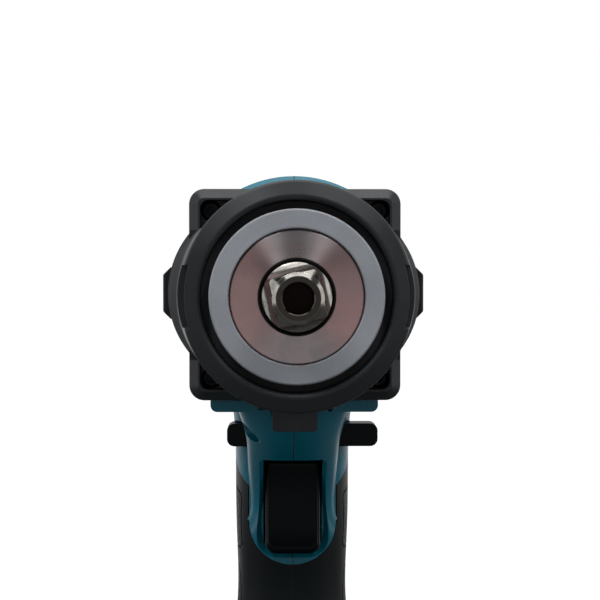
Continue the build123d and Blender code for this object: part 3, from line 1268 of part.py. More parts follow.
def main():
    os.makedirs("parts", exist_ok=True)
    on_drive_line = {
        "anvil": anvil(), "friction_ring": friction_ring(), "hammer_case": hammer_case(),
        "anvil_seal": anvil_seal(), "anvil_bushing": anvil_bushing(), "light_ring": light_ring(),
        "lamp_board": lamp_board(),
        "lamp_carrier": lamp_carrier(), "nose_cover": nose_cover(), "cover_screws": cover_screws(),
        "cam_balls": cam_balls(), "spindle": spindle(), "hammer": hammer(), "spring_washer": spring_washer(),
        "hammer_spring": hammer_spring(), "planet_gear_1": planet_gear(0), "planet_gear_2": planet_gear(1),
        "planet_gear_3": planet_gear(2), "planet_pins": planet_pins(), "ring_gear": ring_gear(),
        "bearing_plate": bearing_plate(), "spindle_bearing": spindle_bearing(),
        "motor_bearings": motor_bearings(),
        "rotor_shaft": rotor_shaft(), "rotor_core": rotor_core(), "rotor_magnets": rotor_magnets(),
        "fan": fan(), "stator_core": stator_core(), "windings": windings(),
        "winding_formers": winding_formers(), "sensor_board": sensor_board(), "rear_cover": rear_cover(),
    }
    for name, shape in on_drive_line.items():
        save(name, DRIVE_LINE * shape)

    grip = grip_body()
    grip_left, grip_right = grip_halves(grip)
    housing_left, housing_right = halves(housing_body(grip))
    in_place = {
        "housing_left": housing_left, "housing_right": housing_right, "grip_left": grip_left,
        "grip_right": grip_right, "side_pads": group(side_pad(1), side_pad(-1)),
        "housing_screws": housing_screws(), "trigger": trigger(), "switch_plunger": switch_plunger(),
        "trigger_spring": trigger_spring(), "switch_body": switch_body(),
        "reversing_lever": reversing_lever(), "controller": controller(), "motor_leads": motor_leads(),
        "terminals": terminals(), "mode_panel": mode_panel(),
        "power_button": mode_button(PANEL_BUTTONS[0]),
        "light_button": mode_button(PANEL_BUTTONS[1]), "battery_lower": battery_lower(),
        "battery_upper": battery_upper(), "battery_cells": battery_cells(), "cell_holders": cell_holders(),
        "battery_board": battery_board(), "battery_contacts": battery_contacts(),
        "battery_screws": battery_screws(), "release_latch": release_latch(), "latch_spring": latch_spring(),
        "gauge_panel": gauge_panel(), "gauge_button": gauge_button(),
    }
    for name, shape in in_place.items():
        save(name, shape)


main()
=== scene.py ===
"""Looks of a cordless impact wrench: a finish for every CAD piece, small moulded details and a plain studio.

Lengths are in metres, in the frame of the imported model: the drive points along -Y, the tool stands on z = 0
and x = 0 is the plane on which the two housing halves meet.
"""

import json
from math import cos, hypot, pi, radians, sin, sqrt

import bpy
import numpy as np
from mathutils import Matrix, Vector

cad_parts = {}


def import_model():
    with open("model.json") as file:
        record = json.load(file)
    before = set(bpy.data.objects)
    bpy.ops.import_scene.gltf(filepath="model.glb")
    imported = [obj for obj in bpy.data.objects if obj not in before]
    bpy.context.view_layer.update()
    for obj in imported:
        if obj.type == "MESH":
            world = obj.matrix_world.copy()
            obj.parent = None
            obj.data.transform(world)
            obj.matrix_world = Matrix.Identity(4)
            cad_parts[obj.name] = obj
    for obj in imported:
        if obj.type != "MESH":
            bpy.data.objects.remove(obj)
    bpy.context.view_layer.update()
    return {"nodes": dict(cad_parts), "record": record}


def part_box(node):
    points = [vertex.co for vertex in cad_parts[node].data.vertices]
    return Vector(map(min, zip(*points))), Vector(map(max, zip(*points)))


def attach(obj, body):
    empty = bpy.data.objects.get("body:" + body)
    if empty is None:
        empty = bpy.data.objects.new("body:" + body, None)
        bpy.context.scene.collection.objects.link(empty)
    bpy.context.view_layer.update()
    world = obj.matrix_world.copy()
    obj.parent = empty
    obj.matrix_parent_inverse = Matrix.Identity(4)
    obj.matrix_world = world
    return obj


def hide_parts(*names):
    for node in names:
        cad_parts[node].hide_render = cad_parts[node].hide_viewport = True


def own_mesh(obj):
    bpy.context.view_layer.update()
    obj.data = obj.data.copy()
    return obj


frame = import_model()
nodes = frame["nodes"]

MM = 0.001

# Drive line
case_low, case_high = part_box("hammer_case")
AXIS_X = (case_low.x + case_high.x) / 2
AXIS_Z = (case_low.z + case_high.z) / 2

# Anvil: its tip has a centre hole and round it a face that isn't ground
TIP_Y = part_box("anvil")[0].y
TIP_DEPTH = (0.1 * MM, 0.3 * MM)
BORE_R = 4.05 * MM
BORE_EDGE = 0.15 * MM
TIP_FACE_R = 5.6 * MM
TIP_FACE_EDGE = 0.2 * MM
ANVIL_PITCH = 0.12 * MM
ANVIL_DEPTH = 0.003 * MM
ANVIL_PATCH = 5.0 * MM
ANVIL_TONES = (1.1, 0.8)
ANVIL_ROUGHNESS = (0.14, 0.22)

# Machined front of the hammer case
CASE_RIM_R = 18.0 * MM
# Painted shade: a dark line along the rim of the face
CASE_RIM_LINE = (0.05 * MM, 0.15 * MM)
CASE_RIM_SHADE = 0.3
CASE_CROWN = 0.07          # slope away from the drive line
CASE_PITCH = 0.25 * MM
CASE_DEPTH = 0.006 * MM
CASE_PATCH = 7.0 * MM
CASE_ROUGHNESS = (0.27, 0.33)
# Painted reflection: the face is tinted grey above and below and rosy at the sides
CASE_ASIDE = (0.3, 0.85)   # share of the radius that lies sideways, from grey to rosy
CASE_REFLECTION_GREYNESS = 0.75
CASE_MOTTLE = 0.25
# Painted light and shade: the face is paler at its foot and darker at its top
CASE_PAINTED_LIGHT = (1.2, 0.8)     # tone at its foot and at its top
MACHINED_ROUND = 0.2 * MM

# Nose cover: its side flares are coarse and matt, outside a smooth band beside the round face
FLARE_BAND_R = 33.2 * MM
FLARE_HALF = 19.0 * MM
FLARE_EDGE = 0.5 * MM
FLARE_ROUGHER = 0.55
FLARE_COARSER = 9.0

# Soft grip: outlines of the side panels as (y, z) in millimetres, clockwise, and the dots that fill them
UPPER_PANEL = ((-8.5, 140.0), (1.0, 144.0), (25.0, 147.0), (25.0, 121.4), (-5.5, 121.4))
LOWER_PANEL = ((-1.0, 116.0), (25.0, 116.0), (26.0, 81.0), (1.0, 81.0))
PANEL_MARGIN = 1.5 * MM
PANEL_EDGE = 1.3           # where the dots are at full height, in margins
DOT_PITCH = 2.2 * MM
DOT_DEPTH = 0.16 * MM
DOT_WAVE = (-1.0, 2.4)     # sum of the waves at a dot's foot and at its top
DOT_WEAR = 0.35
GRIP_ROUGHNESS = (0.53, 0.43)

# Moulded grain, edges and parting line
FINE_GRAIN = 0.35 * MM
RUBBER_GRAIN = 0.45 * MM
GRAIN_DEPTH = 0.006 * MM
POLISHED_DEPTH = 0.004 * MM
EDGE_ROUND = 0.4 * MM
# Share of the paler edge colour: wear on most pieces, a painted highlight on the teal
EDGE_WEAR_AND_HIGHLIGHT = 0.5
MATT_DRIFT = 0.05
SEAM_DEPTH = 8.0           # in depths of the grain
SEAM_CORE = 0.45           # share of the line's width that is darkest

# Frosted lens
LENS_GRAIN = 0.3 * MM
LENS_ROUND = 0.3 * MM
LENS_ROUGHNESS = (0.36, 0.46)

# Other metals
METAL_PITCH = 0.15 * MM
METAL_DEPTH = 0.004 * MM
METAL_PATCH = 9.0 * MM
METAL_ROUND = 0.15 * MM
METAL_DRIFT = (-0.04, 0.06)

# Shared effects: bands of a noise, lean of the normal at an edge, and the least and greatest tone of a colour
NOISE_BAND = (0.3, 0.7)
HAND_BAND = (0.35, 0.68)
EDGE_LEAN = (0.01, 0.22)
FINE_TONES = (0.88, 1.12)
DRIFT_TONES = (0.94, 1.06)
DRIFT_SCALE = 0.02
BAND_TONES = (0.95, 1.05)
BAND_SCALE = 0.09

# Low bosses: rings from the foot up as (half width, half length, height), sides and power of the outline
RIDGE_RISES = np.array([1.7, 3.75, 5.8]) * MM
RIDGE_RINGS = np.array([(9.0, 0.62, -0.4), (9.0, 0.62, 0.1), (8.8, 0.42, 0.36), (8.5, 0.15, 0.45)]) * MM
RIDGE_SIDES, RIDGE_POWER = 24, 0.35
GAUGE_PLACES = np.array([11.2, 7.4, 3.6, -0.2]) * MM
GAUGE_RINGS = np.array([(1.3, 0.8, -0.3), (1.3, 0.8, 0.06), (1.15, 0.65, 0.14), (0.6, 0.3, 0.17)]) * MM
GAUGE_SIDES, GAUGE_POWER = 24, 0.45
MODE_MIDDLE = np.array([0.0, -27.5, 84.4]) * MM
MODE_SLOPE = np.array([0.0, 27.0, 10.0]) / np.hypot(27.0, 10.0)
MODE_PLACES = np.array([-5.5, 5.5]) * MM
MODE_RISE = 4.3 * MM
MODE_RINGS = np.array([(0.9, 0.9, -0.3), (0.9, 0.9, 0.05), (0.7, 0.7, 0.15), (0.3, 0.3, 0.2)]) * MM
MODE_SIDES, MODE_POWER = 20, 1.0

# Springs: body, joint that presses them, axis, fixed end (0 low, 1 high), wire radius and turns
SPRINGS = {
    "hammer_spring": ("spindle", "hammer_slide", 1, 1, 1.5 * MM, 4),
    "trigger_spring": ("tool", "trigger_pull", 1, 1, 0.5 * MM, 6),
    "latch_spring": ("battery", "latch_press", 2, 0, 0.4 * MM, 3),
}
STEPS_PER_TURN = 40
WIRE_SIDES = 12

# View of the photograph; the lens and its frame are in millimetres
CAMERA_PLACE = (-0.00697, -0.496, 0.2139)
CAMERA_PITCH = radians(88.757)
CAMERA_YAW = radians(-1.113)
CAMERA_LENS = 89.88
CAMERA_FRAME = 36.0
CAMERA_NEAR = 0.01

# Soft lamps: place, width and height, and power in watts; all face one point
LAMP_TARGET = (0.0, -0.04, 0.18)
LAMPS = {
    "left_softbox": ((-0.32, -0.62, 0.95), (0.12, 0.5), 3.2),
    "right_softbox": ((0.32, -0.62, 0.95), (0.12, 0.5), 3.2),
    "overhead_softbox": ((0.0, -0.12, 1.0), (1.0, 0.6), 5.8),
    "left_strip": ((-0.75, -0.22, 0.30), (0.32, 0.8), 1.7),
    "right_strip": ((0.75, -0.22, 0.30), (0.32, 0.8), 1.7),
}

# Room: spans of the y or z of a direction over which a part of it comes in or goes out
BACKDROP_SIDES = (-0.2, 0.6)
BACKDROP_RISE = (-0.1, 0.4)
BACKDROP_FOOT = 0.15
FRONT_SIDES = (-0.3, -0.95)
FRONT_RISE = (-0.25, 0.1)
FRONT_TOP = (0.10, 0.32)
FRONT_TOP_LEVEL = 0.1

# Floor: spans of y, and of the distance from the tool, over which its white comes in
FLOOR_HALF = 6.0
FLOOR_SPECKLE = 60.0
FLOOR_BEHIND = (0.15, 0.6)
FLOOR_AHEAD = (-0.2, -0.8)
FLOOR_AHEAD_LEVEL = 0.42
FLOOR_AROUND = (0.12, 0.42)
FLOOR_NEAR_LEVEL = 0.62

# Colours, linear
TEAL = (0.0016, 0.128, 0.188, 1)
# Painted highlight: the teal's edges are painted pale in place of light along them
TEAL_PAINTED_HIGHLIGHT = (0.060, 0.250, 0.320, 1)
SEAM = (0.0015, 0.004, 0.005, 1)
RUBBER = (0.0078, 0.0104, 0.0128, 1)
RUBBER_RUBBED = (0.024, 0.024, 0.026, 1)
GRIP = (0.0036, 0.0056, 0.0068, 1)
GRIP_RUBBED = (0.013, 0.013, 0.014, 1)
CARRIER = (0.028, 0.029, 0.032, 1)
BLACK = (0.0010, 0.0022, 0.0030, 1)
BLACK_RUBBED = (0.008, 0.009, 0.010, 1)
CASE_BLACK = (0.0095, 0.0100, 0.0108, 1)
CASE_BLACK_RUBBED = (0.020, 0.021, 0.022, 1)
LENS = (0.294, 0.312, 0.344, 1)
STEEL = (0.052, 0.047, 0.040, 1)
# Painted shade: near black for the anvil's centre hole and for the line along the case face's rim
PAINTED_SHADE = (0.008, 0.005, 0.0045, 1)
STEEL_GROUND = (0.19, 0.18, 0.165, 1)
STEEL_BRIGHT = (0.50, 0.49, 0.48, 1)
STEEL_BLACK = (0.024, 0.024, 0.026, 1)
CASE = (0.42, 0.268, 0.262, 1)
CASE_REFLECTION_GREY = (0.325, 0.298, 0.306, 1)
ALUMINIUM = (0.60, 0.60, 0.61, 1)
BRONZE = (0.45, 0.27, 0.10, 1)
COPPER = (0.62, 0.22, 0.08, 1)
IRON = (0.16, 0.16, 0.17, 1)
IVORY = (0.62, 0.60, 0.54, 1)
BOARD = (0.012, 0.10, 0.035, 1)
SLEEVE = (0.03, 0.12, 0.32, 1)
WIRE = (0.30, 0.02, 0.015, 1)
SMOKE = (0.012, 0.012, 0.014, 1)
ROOM = (0.05, 0.05, 0.052, 1)
ROOM_FRONT = (0.62, 0.62, 0.63, 1)
FLOOR_DARK = (0.15, 0.15, 0.15, 1)
FLOOR_PALE = (0.17, 0.17, 0.17, 1)
WHITE = (1, 1, 1, 1)


# Shader nodes
class Graph:
    """Short calls for a node tree: add a node with settings, and give its inputs values or wires."""

    def __init__(self, tree):
        self.tree = tree

    def feed(self, socket, value):
        if isinstance(value, bpy.types.NodeSocket):
            self.tree.links.new(value, socket)
        else:
            socket.default_value = value

    def add(self, kind, inputs=None, **settings):
        made = self.tree.nodes.new(kind)
        for name, value in settings.items():
            setattr(made, name, value)
        for name, value in (inputs or {}).items():
            self.feed(made.inputs[name], value)
        return made

    def math(self, operation, *terms):
        made = self.add("ShaderNodeMath", operation=operation)
        for socket, term in zip(made.inputs, terms):
            self.feed(socket, term)
        return made.outputs[0]

    def length(self, first, second):
        """Root of the sum of two squares."""
        squares = [self.math("MULTIPLY", side, side) for side in (first, second)]
        return self.math("SQRT", self.math("ADD", *squares))

    def span(self, value, low, high, to_low, to_high):
        """The value mapped from one span to another, smoothly and clamped."""
        return self.add("ShaderNodeMapRange", {"Value": value, "From Min": low, "From Max": high,
                                               "To Min": to_low, "To Max": to_high},
                        interpolation_type="SMOOTHSTEP").outputs[0]

    def noise(self, vector, scale, detail, roughness=0.5):
        made = self.add("ShaderNodeTexNoise", {"Vector": vector, "Scale": scale, "Detail": detail,
                                               "Roughness": roughness})
        return made.outputs["Fac"]

    def noise_along(self, distance, scale, detail):
        made = self.add("ShaderNodeTexNoise", {"W": distance, "Scale": scale, "Detail": detail},
                        noise_dimensions="1D")
        return made.outputs["Fac"]

    def tint(self, factor, first, second):
        """Colour between two colours."""
        made = self.add("ShaderNodeMix", data_type="RGBA")
        for name, value in (("Factor_Float", factor), ("A_Color", first), ("B_Color", second)):
            self.feed(next(s for s in made.inputs if s.identifier == name), value)
        return next(s for s in made.outputs if s.identifier == "Result_Color")

    def split(self, vector):
        return self.add("ShaderNodeSeparateXYZ", {"Vector": vector}).outputs

    def effect(self, tree, **inputs):
        return self.add("ShaderNodeGroup", inputs, node_tree=tree).outputs


def effect_group(name, inputs, outputs, build):
    """Shader node group; build takes the graph and the input sockets and gives the outputs by name.

    An input with a number is a value that starts at that number, and one without is a vector.
    """
    tree = bpy.data.node_groups.new(name, "ShaderNodeTree")
    for socket, value in inputs.items():
        kind = "NodeSocketVector" if value is None else "NodeSocketFloat"
        made = tree.interface.new_socket(socket, in_out="INPUT", socket_type=kind)
        if value is not None:
            made.default_value = value
    for socket in outputs:
        tree.interface.new_socket(socket, in_out="OUTPUT", socket_type="NodeSocketFloat")
    graph = Graph(tree)
    source = graph.add("NodeGroupInput")
    sink = graph.add("NodeGroupOutput")
    for socket, value in build(graph, source.outputs).items():
        graph.feed(sink.inputs[socket], value)
    return tree


def moulded_grain(g, given):
    """Spark-eroded mould texture: fine noise for the height, and the same with a broad drift for the tone."""
    scale = g.math("DIVIDE", 1.0, given["Size"])
    fine = g.noise(given["Vector"], scale, detail=2.0, roughness=0.6)
    drift = g.noise(given["Vector"], g.math("MULTIPLY", scale, DRIFT_SCALE), detail=3.0)
    tone = g.math("MULTIPLY", g.span(fine, *NOISE_BAND, *FINE_TONES),
                  g.span(drift, *NOISE_BAND, *DRIFT_TONES))
    return {"Height": fine, "Tone": tone}


def handled(g, given):
    """Broad patches where hands and cloths have polished the surface."""
    patch = g.noise(given["Vector"], g.math("DIVIDE", 1.0, given["Size"]), detail=4.0, roughness=0.55)
    return {"Patch": g.span(patch, *HAND_BAND, 0.0, 1.0)}


def worn_and_lit_edges(g, given):
    """Mask of outer edges: how far the normal averaged over the width leans from the surface's own."""
    soft = g.add("ShaderNodeBevel", {"Radius": given["Width"]}, samples=6).outputs["Normal"]
    plain = g.add("ShaderNodeNewGeometry").outputs["Normal"]
    same = g.add("ShaderNodeVectorMath", operation="DOT_PRODUCT")
    g.feed(same.inputs[0], soft)
    g.feed(same.inputs[1], plain)
    return {"Mask": g.span(g.math("SUBTRACT", 1.0, same.outputs["Value"]), *EDGE_LEAN, 0.0, 1.0)}


def off_axis(g, vector):
    """Distance from the drive line."""
    place = g.split(vector)
    return g.length(g.math("SUBTRACT", place["X"], AXIS_X), g.math("SUBTRACT", place["Z"], AXIS_Z))


def turned_marks(g, given):
    """Lathe marks: noise over the distance from the drive line alone, as fine rings and broad bands."""
    turns = g.math("DIVIDE", off_axis(g, given["Vector"]), given["Pitch"])
    rings = g.noise_along(turns, 1.0, detail=2.0)
    bands = g.noise_along(turns, BAND_SCALE, detail=1.0)
    return {"Height": rings, "Tone": g.span(bands, *NOISE_BAND, *BAND_TONES)}


def parting_line(g, given):
    """Mask of the line on which the two halves meet, at x = 0."""
    away = g.math("ABSOLUTE", g.split(given["Vector"])["X"])
    core = g.math("MULTIPLY", given["Width"], SEAM_CORE)
    return {"Mask": g.span(away, given["Width"], core, 0.0, 1.0)}


GRAIN = effect_group("moulded_grain", {"Vector": None, "Size": 0.4 * MM}, ("Height", "Tone"), moulded_grain)
HANDLED = effect_group("handled", {"Vector": None, "Size": 25 * MM}, ("Patch",), handled)
WORN_AND_LIT_EDGES = effect_group("worn_and_lit_edges", {"Width": 0.5 * MM}, ("Mask",), worn_and_lit_edges)
TURNED = effect_group("turned_marks", {"Vector": None, "Pitch": 0.2 * MM}, ("Height", "Tone"), turned_marks)
PARTING = effect_group("parting_line", {"Vector": None, "Width": 0.2 * MM}, ("Mask",), parting_line)


# Materials
def new_material(name):
    """Material with its graph, Principled shader and Object coordinates."""
    material = bpy.data.materials.new(name)
    material.use_nodes = True
    graph = Graph(material.node_tree)
    shader = material.node_tree.nodes["Principled BSDF"]
    coords = graph.add("ShaderNodeTexCoord").outputs["Object"]
    return material, graph, shader, coords


def set_plain(shader, **values):
    """Values that are the same all over the surface, on the shader's own sockets."""
    for name, value in values.items():
        shader.inputs[name.replace("_", " ")].default_value = value


def surface(graph, shader, colour, roughness, normal):
    """What changes over the surface, wired to the shader."""
    graph.feed(shader.inputs["Base Color"], colour)
    graph.feed(shader.inputs["Roughness"], roughness)
    graph.feed(shader.inputs["Normal"], normal)


def toned(graph, colour, tone):
    """A colour made lighter or darker by a tone about one."""
    made = graph.add("ShaderNodeVectorMath", operation="SCALE")
    graph.feed(made.inputs[0], colour if isinstance(colour, bpy.types.NodeSocket) else colour[:3])
    graph.feed(made.inputs["Scale"], tone)
    return made.outputs[0]


def bump(graph, height, depth, rounding):
    """Normal from a height, over edges that are rounded a little."""
    made = graph.add("ShaderNodeBump", {"Height": height, "Distance": depth, "Strength": 1.0})
    soft = graph.add("ShaderNodeBevel", {"Radius": rounding}, samples=4)
    graph.feed(made.inputs["Normal"], soft.outputs["Normal"])
    return made.outputs[0]


def side_flares(g, vector):
    """Mask of the cover's side flares, outside the smooth band along its round face."""
    above = g.math("ABSOLUTE", g.math("SUBTRACT", g.split(vector)["Z"], AXIS_Z))
    outer = g.span(off_axis(g, vector), FLARE_BAND_R - FLARE_EDGE, FLARE_BAND_R + FLARE_EDGE, 0.0, 1.0)
    return g.math("MULTIPLY", outer, g.span(above, FLARE_HALF - FLARE_EDGE, FLARE_HALF, 1.0, 0.0))


def moulding(name, colour, edge_wear_and_highlight, roughness, gloss=0.5, size=FINE_GRAIN, depth=GRAIN_DEPTH, seam=False,
             coarse=None):
    """Moulded plastic or rubber: fine grain, polished patches and paler edges, worn on most pieces and a
    painted highlight on the teal.

    A seam adds the parting line of two halves. A mask, if given, marks where the grain is coarse and matt.
    """
    material, g, shader, coords = new_material(name)
    grain = g.effect(GRAIN, Vector=coords, Size=size)
    edge = g.effect(WORN_AND_LIT_EDGES, Width=2 * EDGE_ROUND)["Mask"]
    patch = g.effect(HANDLED, Vector=coords)["Patch"]
    # Paler edges: wear, and on the teal a painted highlight
    base = g.tint(g.math("MULTIPLY", edge, EDGE_WEAR_AND_HIGHLIGHT), toned(g, colour, grain["Tone"]), edge_wear_and_highlight)
    height = grain["Height"]
    if seam:
        line = g.effect(PARTING, Vector=coords)["Mask"]
        base = g.tint(line, base, SEAM)
        height = g.math("SUBTRACT", height, g.math("MULTIPLY", line, SEAM_DEPTH))
    matt = g.span(patch, 0.0, 1.0, roughness + MATT_DRIFT, roughness - MATT_DRIFT)
    if coarse:
        mask = coarse(g, coords)
        matt = g.math("ADD", matt, g.math("MULTIPLY", mask, FLARE_ROUGHER))
        height = g.math("MULTIPLY", height, g.span(mask, 0.0, 1.0, 1.0, FLARE_COARSER))
    set_plain(shader, Specular_IOR_Level=gloss)
    surface(g, shader, base, matt, bump(g, height, depth, EDGE_ROUND))
    return material


def metal(name, colour, roughness):
    """Machined metal: turned rings about the drive line, with a slow change of tone."""
    material, g, shader, coords = new_material(name)
    marks = g.effect(TURNED, Vector=coords, Pitch=METAL_PITCH)
    patch = g.effect(HANDLED, Vector=coords, Size=METAL_PATCH)["Patch"]
    matt = g.span(patch, 0.0, 1.0, roughness + METAL_DRIFT[0], roughness + METAL_DRIFT[1])
    set_plain(shader, Metallic=1.0)
    surface(g, shader, toned(g, colour, marks["Tone"]), matt,
            bump(g, marks["Height"], METAL_DEPTH, METAL_ROUND))
    return material


def anvil_steel():
    """Ground steel; the face of the tip is left dark, and its centre hole is painted near black as shade."""
    material, g, shader, coords = new_material("anvil_steel")
    marks = g.effect(TURNED, Vector=coords, Pitch=ANVIL_PITCH)
    patch = g.effect(HANDLED, Vector=coords, Size=ANVIL_PATCH)["Patch"]
    radius = off_axis(g, coords)
    # Painted shade: the centre hole is coloured near black
    hole = g.span(radius, BORE_R, BORE_R + BORE_EDGE, 1.0, 0.0)
    front = g.span(g.split(coords)["Y"], TIP_Y + TIP_DEPTH[0], TIP_Y + TIP_DEPTH[1], 1.0, 0.0)
    face = g.math("MULTIPLY", front, g.span(radius, TIP_FACE_R, TIP_FACE_R + TIP_FACE_EDGE, 1.0, 0.0))
    tone = g.math("MULTIPLY", marks["Tone"], g.span(patch, 0.0, 1.0, *ANVIL_TONES))
    base = g.tint(hole, g.tint(face, toned(g, STEEL_GROUND, tone), STEEL), PAINTED_SHADE)
    set_plain(shader, Metallic=1.0)
    surface(g, shader, base, g.span(patch, 0.0, 1.0, *ANVIL_ROUGHNESS),
            bump(g, marks["Height"], ANVIL_DEPTH, MACHINED_ROUND))
    return material


def machined_face():
    """Case front faced on a lathe, a little crowned: its rings smear the light across them.

    Grey above and below and rosy at the sides, a painted reflection, with random mottle; painted paler
    towards its foot and darker at its top, as light and shade; a painted shade line along its rim.
    """
    material, g, shader, coords = new_material("machined_face")
    marks = g.effect(TURNED, Vector=coords, Pitch=CASE_PITCH)
    patch = g.effect(HANDLED, Vector=coords, Size=CASE_PATCH)["Patch"]
    place = g.split(coords)
    radius = off_axis(g, coords)
    rim = g.math("ABSOLUTE", g.math("SUBTRACT", radius, CASE_RIM_R))
    aside = g.math("DIVIDE", g.math("ABSOLUTE", place["X"]), radius)
    # Painted reflection by the angle about the drive line, with random mottle added
    grey = g.math("ADD", g.span(aside, *CASE_ASIDE, CASE_REFLECTION_GREYNESS, 0.0),
                  g.math("MULTIPLY", patch, CASE_MOTTLE))
    # Painted shade: the rim is darkened towards near black
    lined = g.tint(g.span(rim, *CASE_RIM_LINE, CASE_RIM_SHADE, 0.0), g.tint(grey, CASE, CASE_REFLECTION_GREY), PAINTED_SHADE)
    # Painted light and shade: paler at the foot, darker at the top
    painted_light = g.span(place["Z"], AXIS_Z - CASE_RIM_R, AXIS_Z + CASE_RIM_R, *CASE_PAINTED_LIGHT)
    height = g.math("ADD", marks["Height"], g.math("MULTIPLY", radius, -CASE_CROWN / CASE_DEPTH))
    set_plain(shader, Metallic=1.0, Anisotropic=0.95, Anisotropic_Rotation=0.25)
    surface(g, shader, toned(g, lined, painted_light), g.span(patch, 0.0, 1.0, *CASE_ROUGHNESS),
            bump(g, height, CASE_DEPTH, MACHINED_ROUND))
    around = g.add("ShaderNodeTangent", direction_type="RADIAL", axis="Y")
    g.feed(shader.inputs["Tangent"], around.outputs[0])
    return material


def grip_panels(g, vector):
    """Mask of the grip's side panels: inside every edge of either outline by a margin."""
    place = g.split(vector)
    depths = []
    for outline in (UPPER_PANEL, LOWER_PANEL):
        depth = 1.0
        for (y, z), (next_y, next_z) in zip(outline, outline[1:] + outline[:1]):
            run = hypot(next_y - y, next_z - z)
            lean_y, lean_z = (next_z - z) / run, (y - next_y) / run
            off = g.math("ADD", g.math("MULTIPLY", place["Y"], lean_y),
                         g.math("MULTIPLY", place["Z"], lean_z))
            depth = g.math("MINIMUM", depth, g.math("SUBTRACT", off, (y * lean_y + z * lean_z) * MM))
        depths.append(depth)
    return g.span(g.math("MAXIMUM", *depths), PANEL_MARGIN, PANEL_EDGE * PANEL_MARGIN, 0.0, 1.0)


def grip_dots(g, vector):
    """Triangular lattice of round dots: three waves at 60 degrees to each other, added."""
    place = g.split(vector)
    wave = 4 * pi / (sqrt(3) * DOT_PITCH)
    total = 0.0
    for turn in (0.0, pi / 3, 2 * pi / 3):
        along = g.math("ADD", g.math("MULTIPLY", place["Y"], cos(turn) * wave),
                       g.math("MULTIPLY", place["Z"], sin(turn) * wave))
        total = g.math("ADD", total, g.math("COSINE", along))
    return g.span(total, *DOT_WAVE, 0.0, 1.0)


def soft_grip():
    """Matt soft grip: fine grain, polished patches, and raised dots inside its side panels."""
    material, g, shader, coords = new_material("grip_rubber")
    grain = g.effect(GRAIN, Vector=coords, Size=RUBBER_GRAIN)
    edge = g.effect(WORN_AND_LIT_EDGES, Width=2 * EDGE_ROUND)["Mask"]
    patch = g.effect(HANDLED, Vector=coords)["Patch"]
    dots = g.math("MULTIPLY", grip_panels(g, coords), grip_dots(g, coords))
    worn = g.math("MAXIMUM", g.math("MULTIPLY", edge, EDGE_WEAR_AND_HIGHLIGHT), g.math("MULTIPLY", dots, DOT_WEAR))
    height = g.math("ADD", dots, g.math("MULTIPLY", grain["Height"], GRAIN_DEPTH / DOT_DEPTH))
    set_plain(shader, Specular_IOR_Level=0.25)
    surface(g, shader, g.tint(worn, toned(g, GRIP, grain["Tone"]), GRIP_RUBBED),
            g.span(patch, 0.0, 1.0, *GRIP_ROUGHNESS), bump(g, height, DOT_DEPTH, EDGE_ROUND))
    return material


def frosted_lens():
    """Frosted light ring: a milky body that lets some light through, with a fine matt surface."""
    material, g, shader, coords = new_material("frosted_lens")
    grain = g.effect(GRAIN, Vector=coords, Size=LENS_GRAIN)
    set_plain(shader, IOR=1.49, Subsurface_Weight=0.35, Subsurface_Scale=1.5 * MM)
    surface(g, shader, toned(g, LENS, grain["Tone"]), g.span(grain["Height"], *NOISE_BAND, *LENS_ROUGHNESS),
            bump(g, grain["Height"], GRAIN_DEPTH, LENS_ROUND))
    return material


RUBBER_LOOK = {"colour": RUBBER, "edge_wear_and_highlight": RUBBER_RUBBED, "roughness": 0.43, "gloss": 0.36,
               "size": RUBBER_GRAIN}
FINISHES = {
    # The teal's pale edges are a painted highlight
    "teal_plastic": moulding("teal_plastic", TEAL, TEAL_PAINTED_HIGHLIGHT, roughness=0.33, gloss=0.30, seam=True),
    "black_plastic": moulding("black_plastic", BLACK, BLACK_RUBBED, roughness=0.26, gloss=0.085),
    "black_elastomer": moulding("black_elastomer", **RUBBER_LOOK),
    "seal_rubber": moulding("seal_rubber", BLACK, BLACK, roughness=0.5),
    "wire": moulding("wire", WIRE, WIRE, roughness=0.4),
    "white_plastic": moulding("white_plastic", IVORY, IVORY, roughness=0.5),
    "board": moulding("board", BOARD, BOARD, roughness=0.35),
    "cell_can": moulding("cell_can", SLEEVE, SLEEVE, roughness=0.35),
    "smoke_plastic": moulding("smoke_plastic", SMOKE, SMOKE, roughness=0.18, depth=POLISHED_DEPTH),
    "frosted_lens": frosted_lens(),
    "turned_steel": metal("turned_steel", STEEL, roughness=0.30),
    "bright_steel": metal("bright_steel", STEEL_BRIGHT, roughness=0.22),
    "black_steel": metal("black_steel", STEEL_BLACK, roughness=0.5),
    "case_aluminium": machined_face(),
    "plate_aluminium": metal("plate_aluminium", ALUMINIUM, roughness=0.4),
    "bronze": metal("bronze", BRONZE, roughness=0.35),
    "copper": metal("copper", COPPER, roughness=0.3),
    "magnet": metal("magnet", IRON, roughness=0.3),
    "lamination": metal("lamination", IRON, roughness=0.45),
}


def dress(piece, material):
    """Give a CAD piece one material in place of those it has."""
    piece.data.materials.clear()
    piece.data.materials.append(material)


for row in frame["record"]["subparts"]:
    dress(nodes[row["node"]], FINISHES[row["material_slot"]])
dress(nodes["anvil"], anvil_steel())
dress(nodes["nose_cover"], moulding("cover_rubber", **RUBBER_LOOK, coarse=side_flares))
dress(nodes["lamp_carrier"], moulding("carrier_plastic", CARRIER, CARRIER, roughness=0.5, gloss=0.15))
case_plastic = moulding("case_plastic", CASE_BLACK, CASE_BLACK_RUBBED, roughness=0.40, gloss=0.35)
for name in ("rear_cover", "battery_lower", "battery_upper", "release_latch"):
    dress(nodes[name], case_plastic)
grip_rubber = soft_grip()
for name in ("grip_left", "grip_right", "side_pads"):
    dress(nodes[name], grip_rubber)


# Small moulded details and springs
X_AXIS, Y_AXIS, Z_AXIS = np.eye(3)


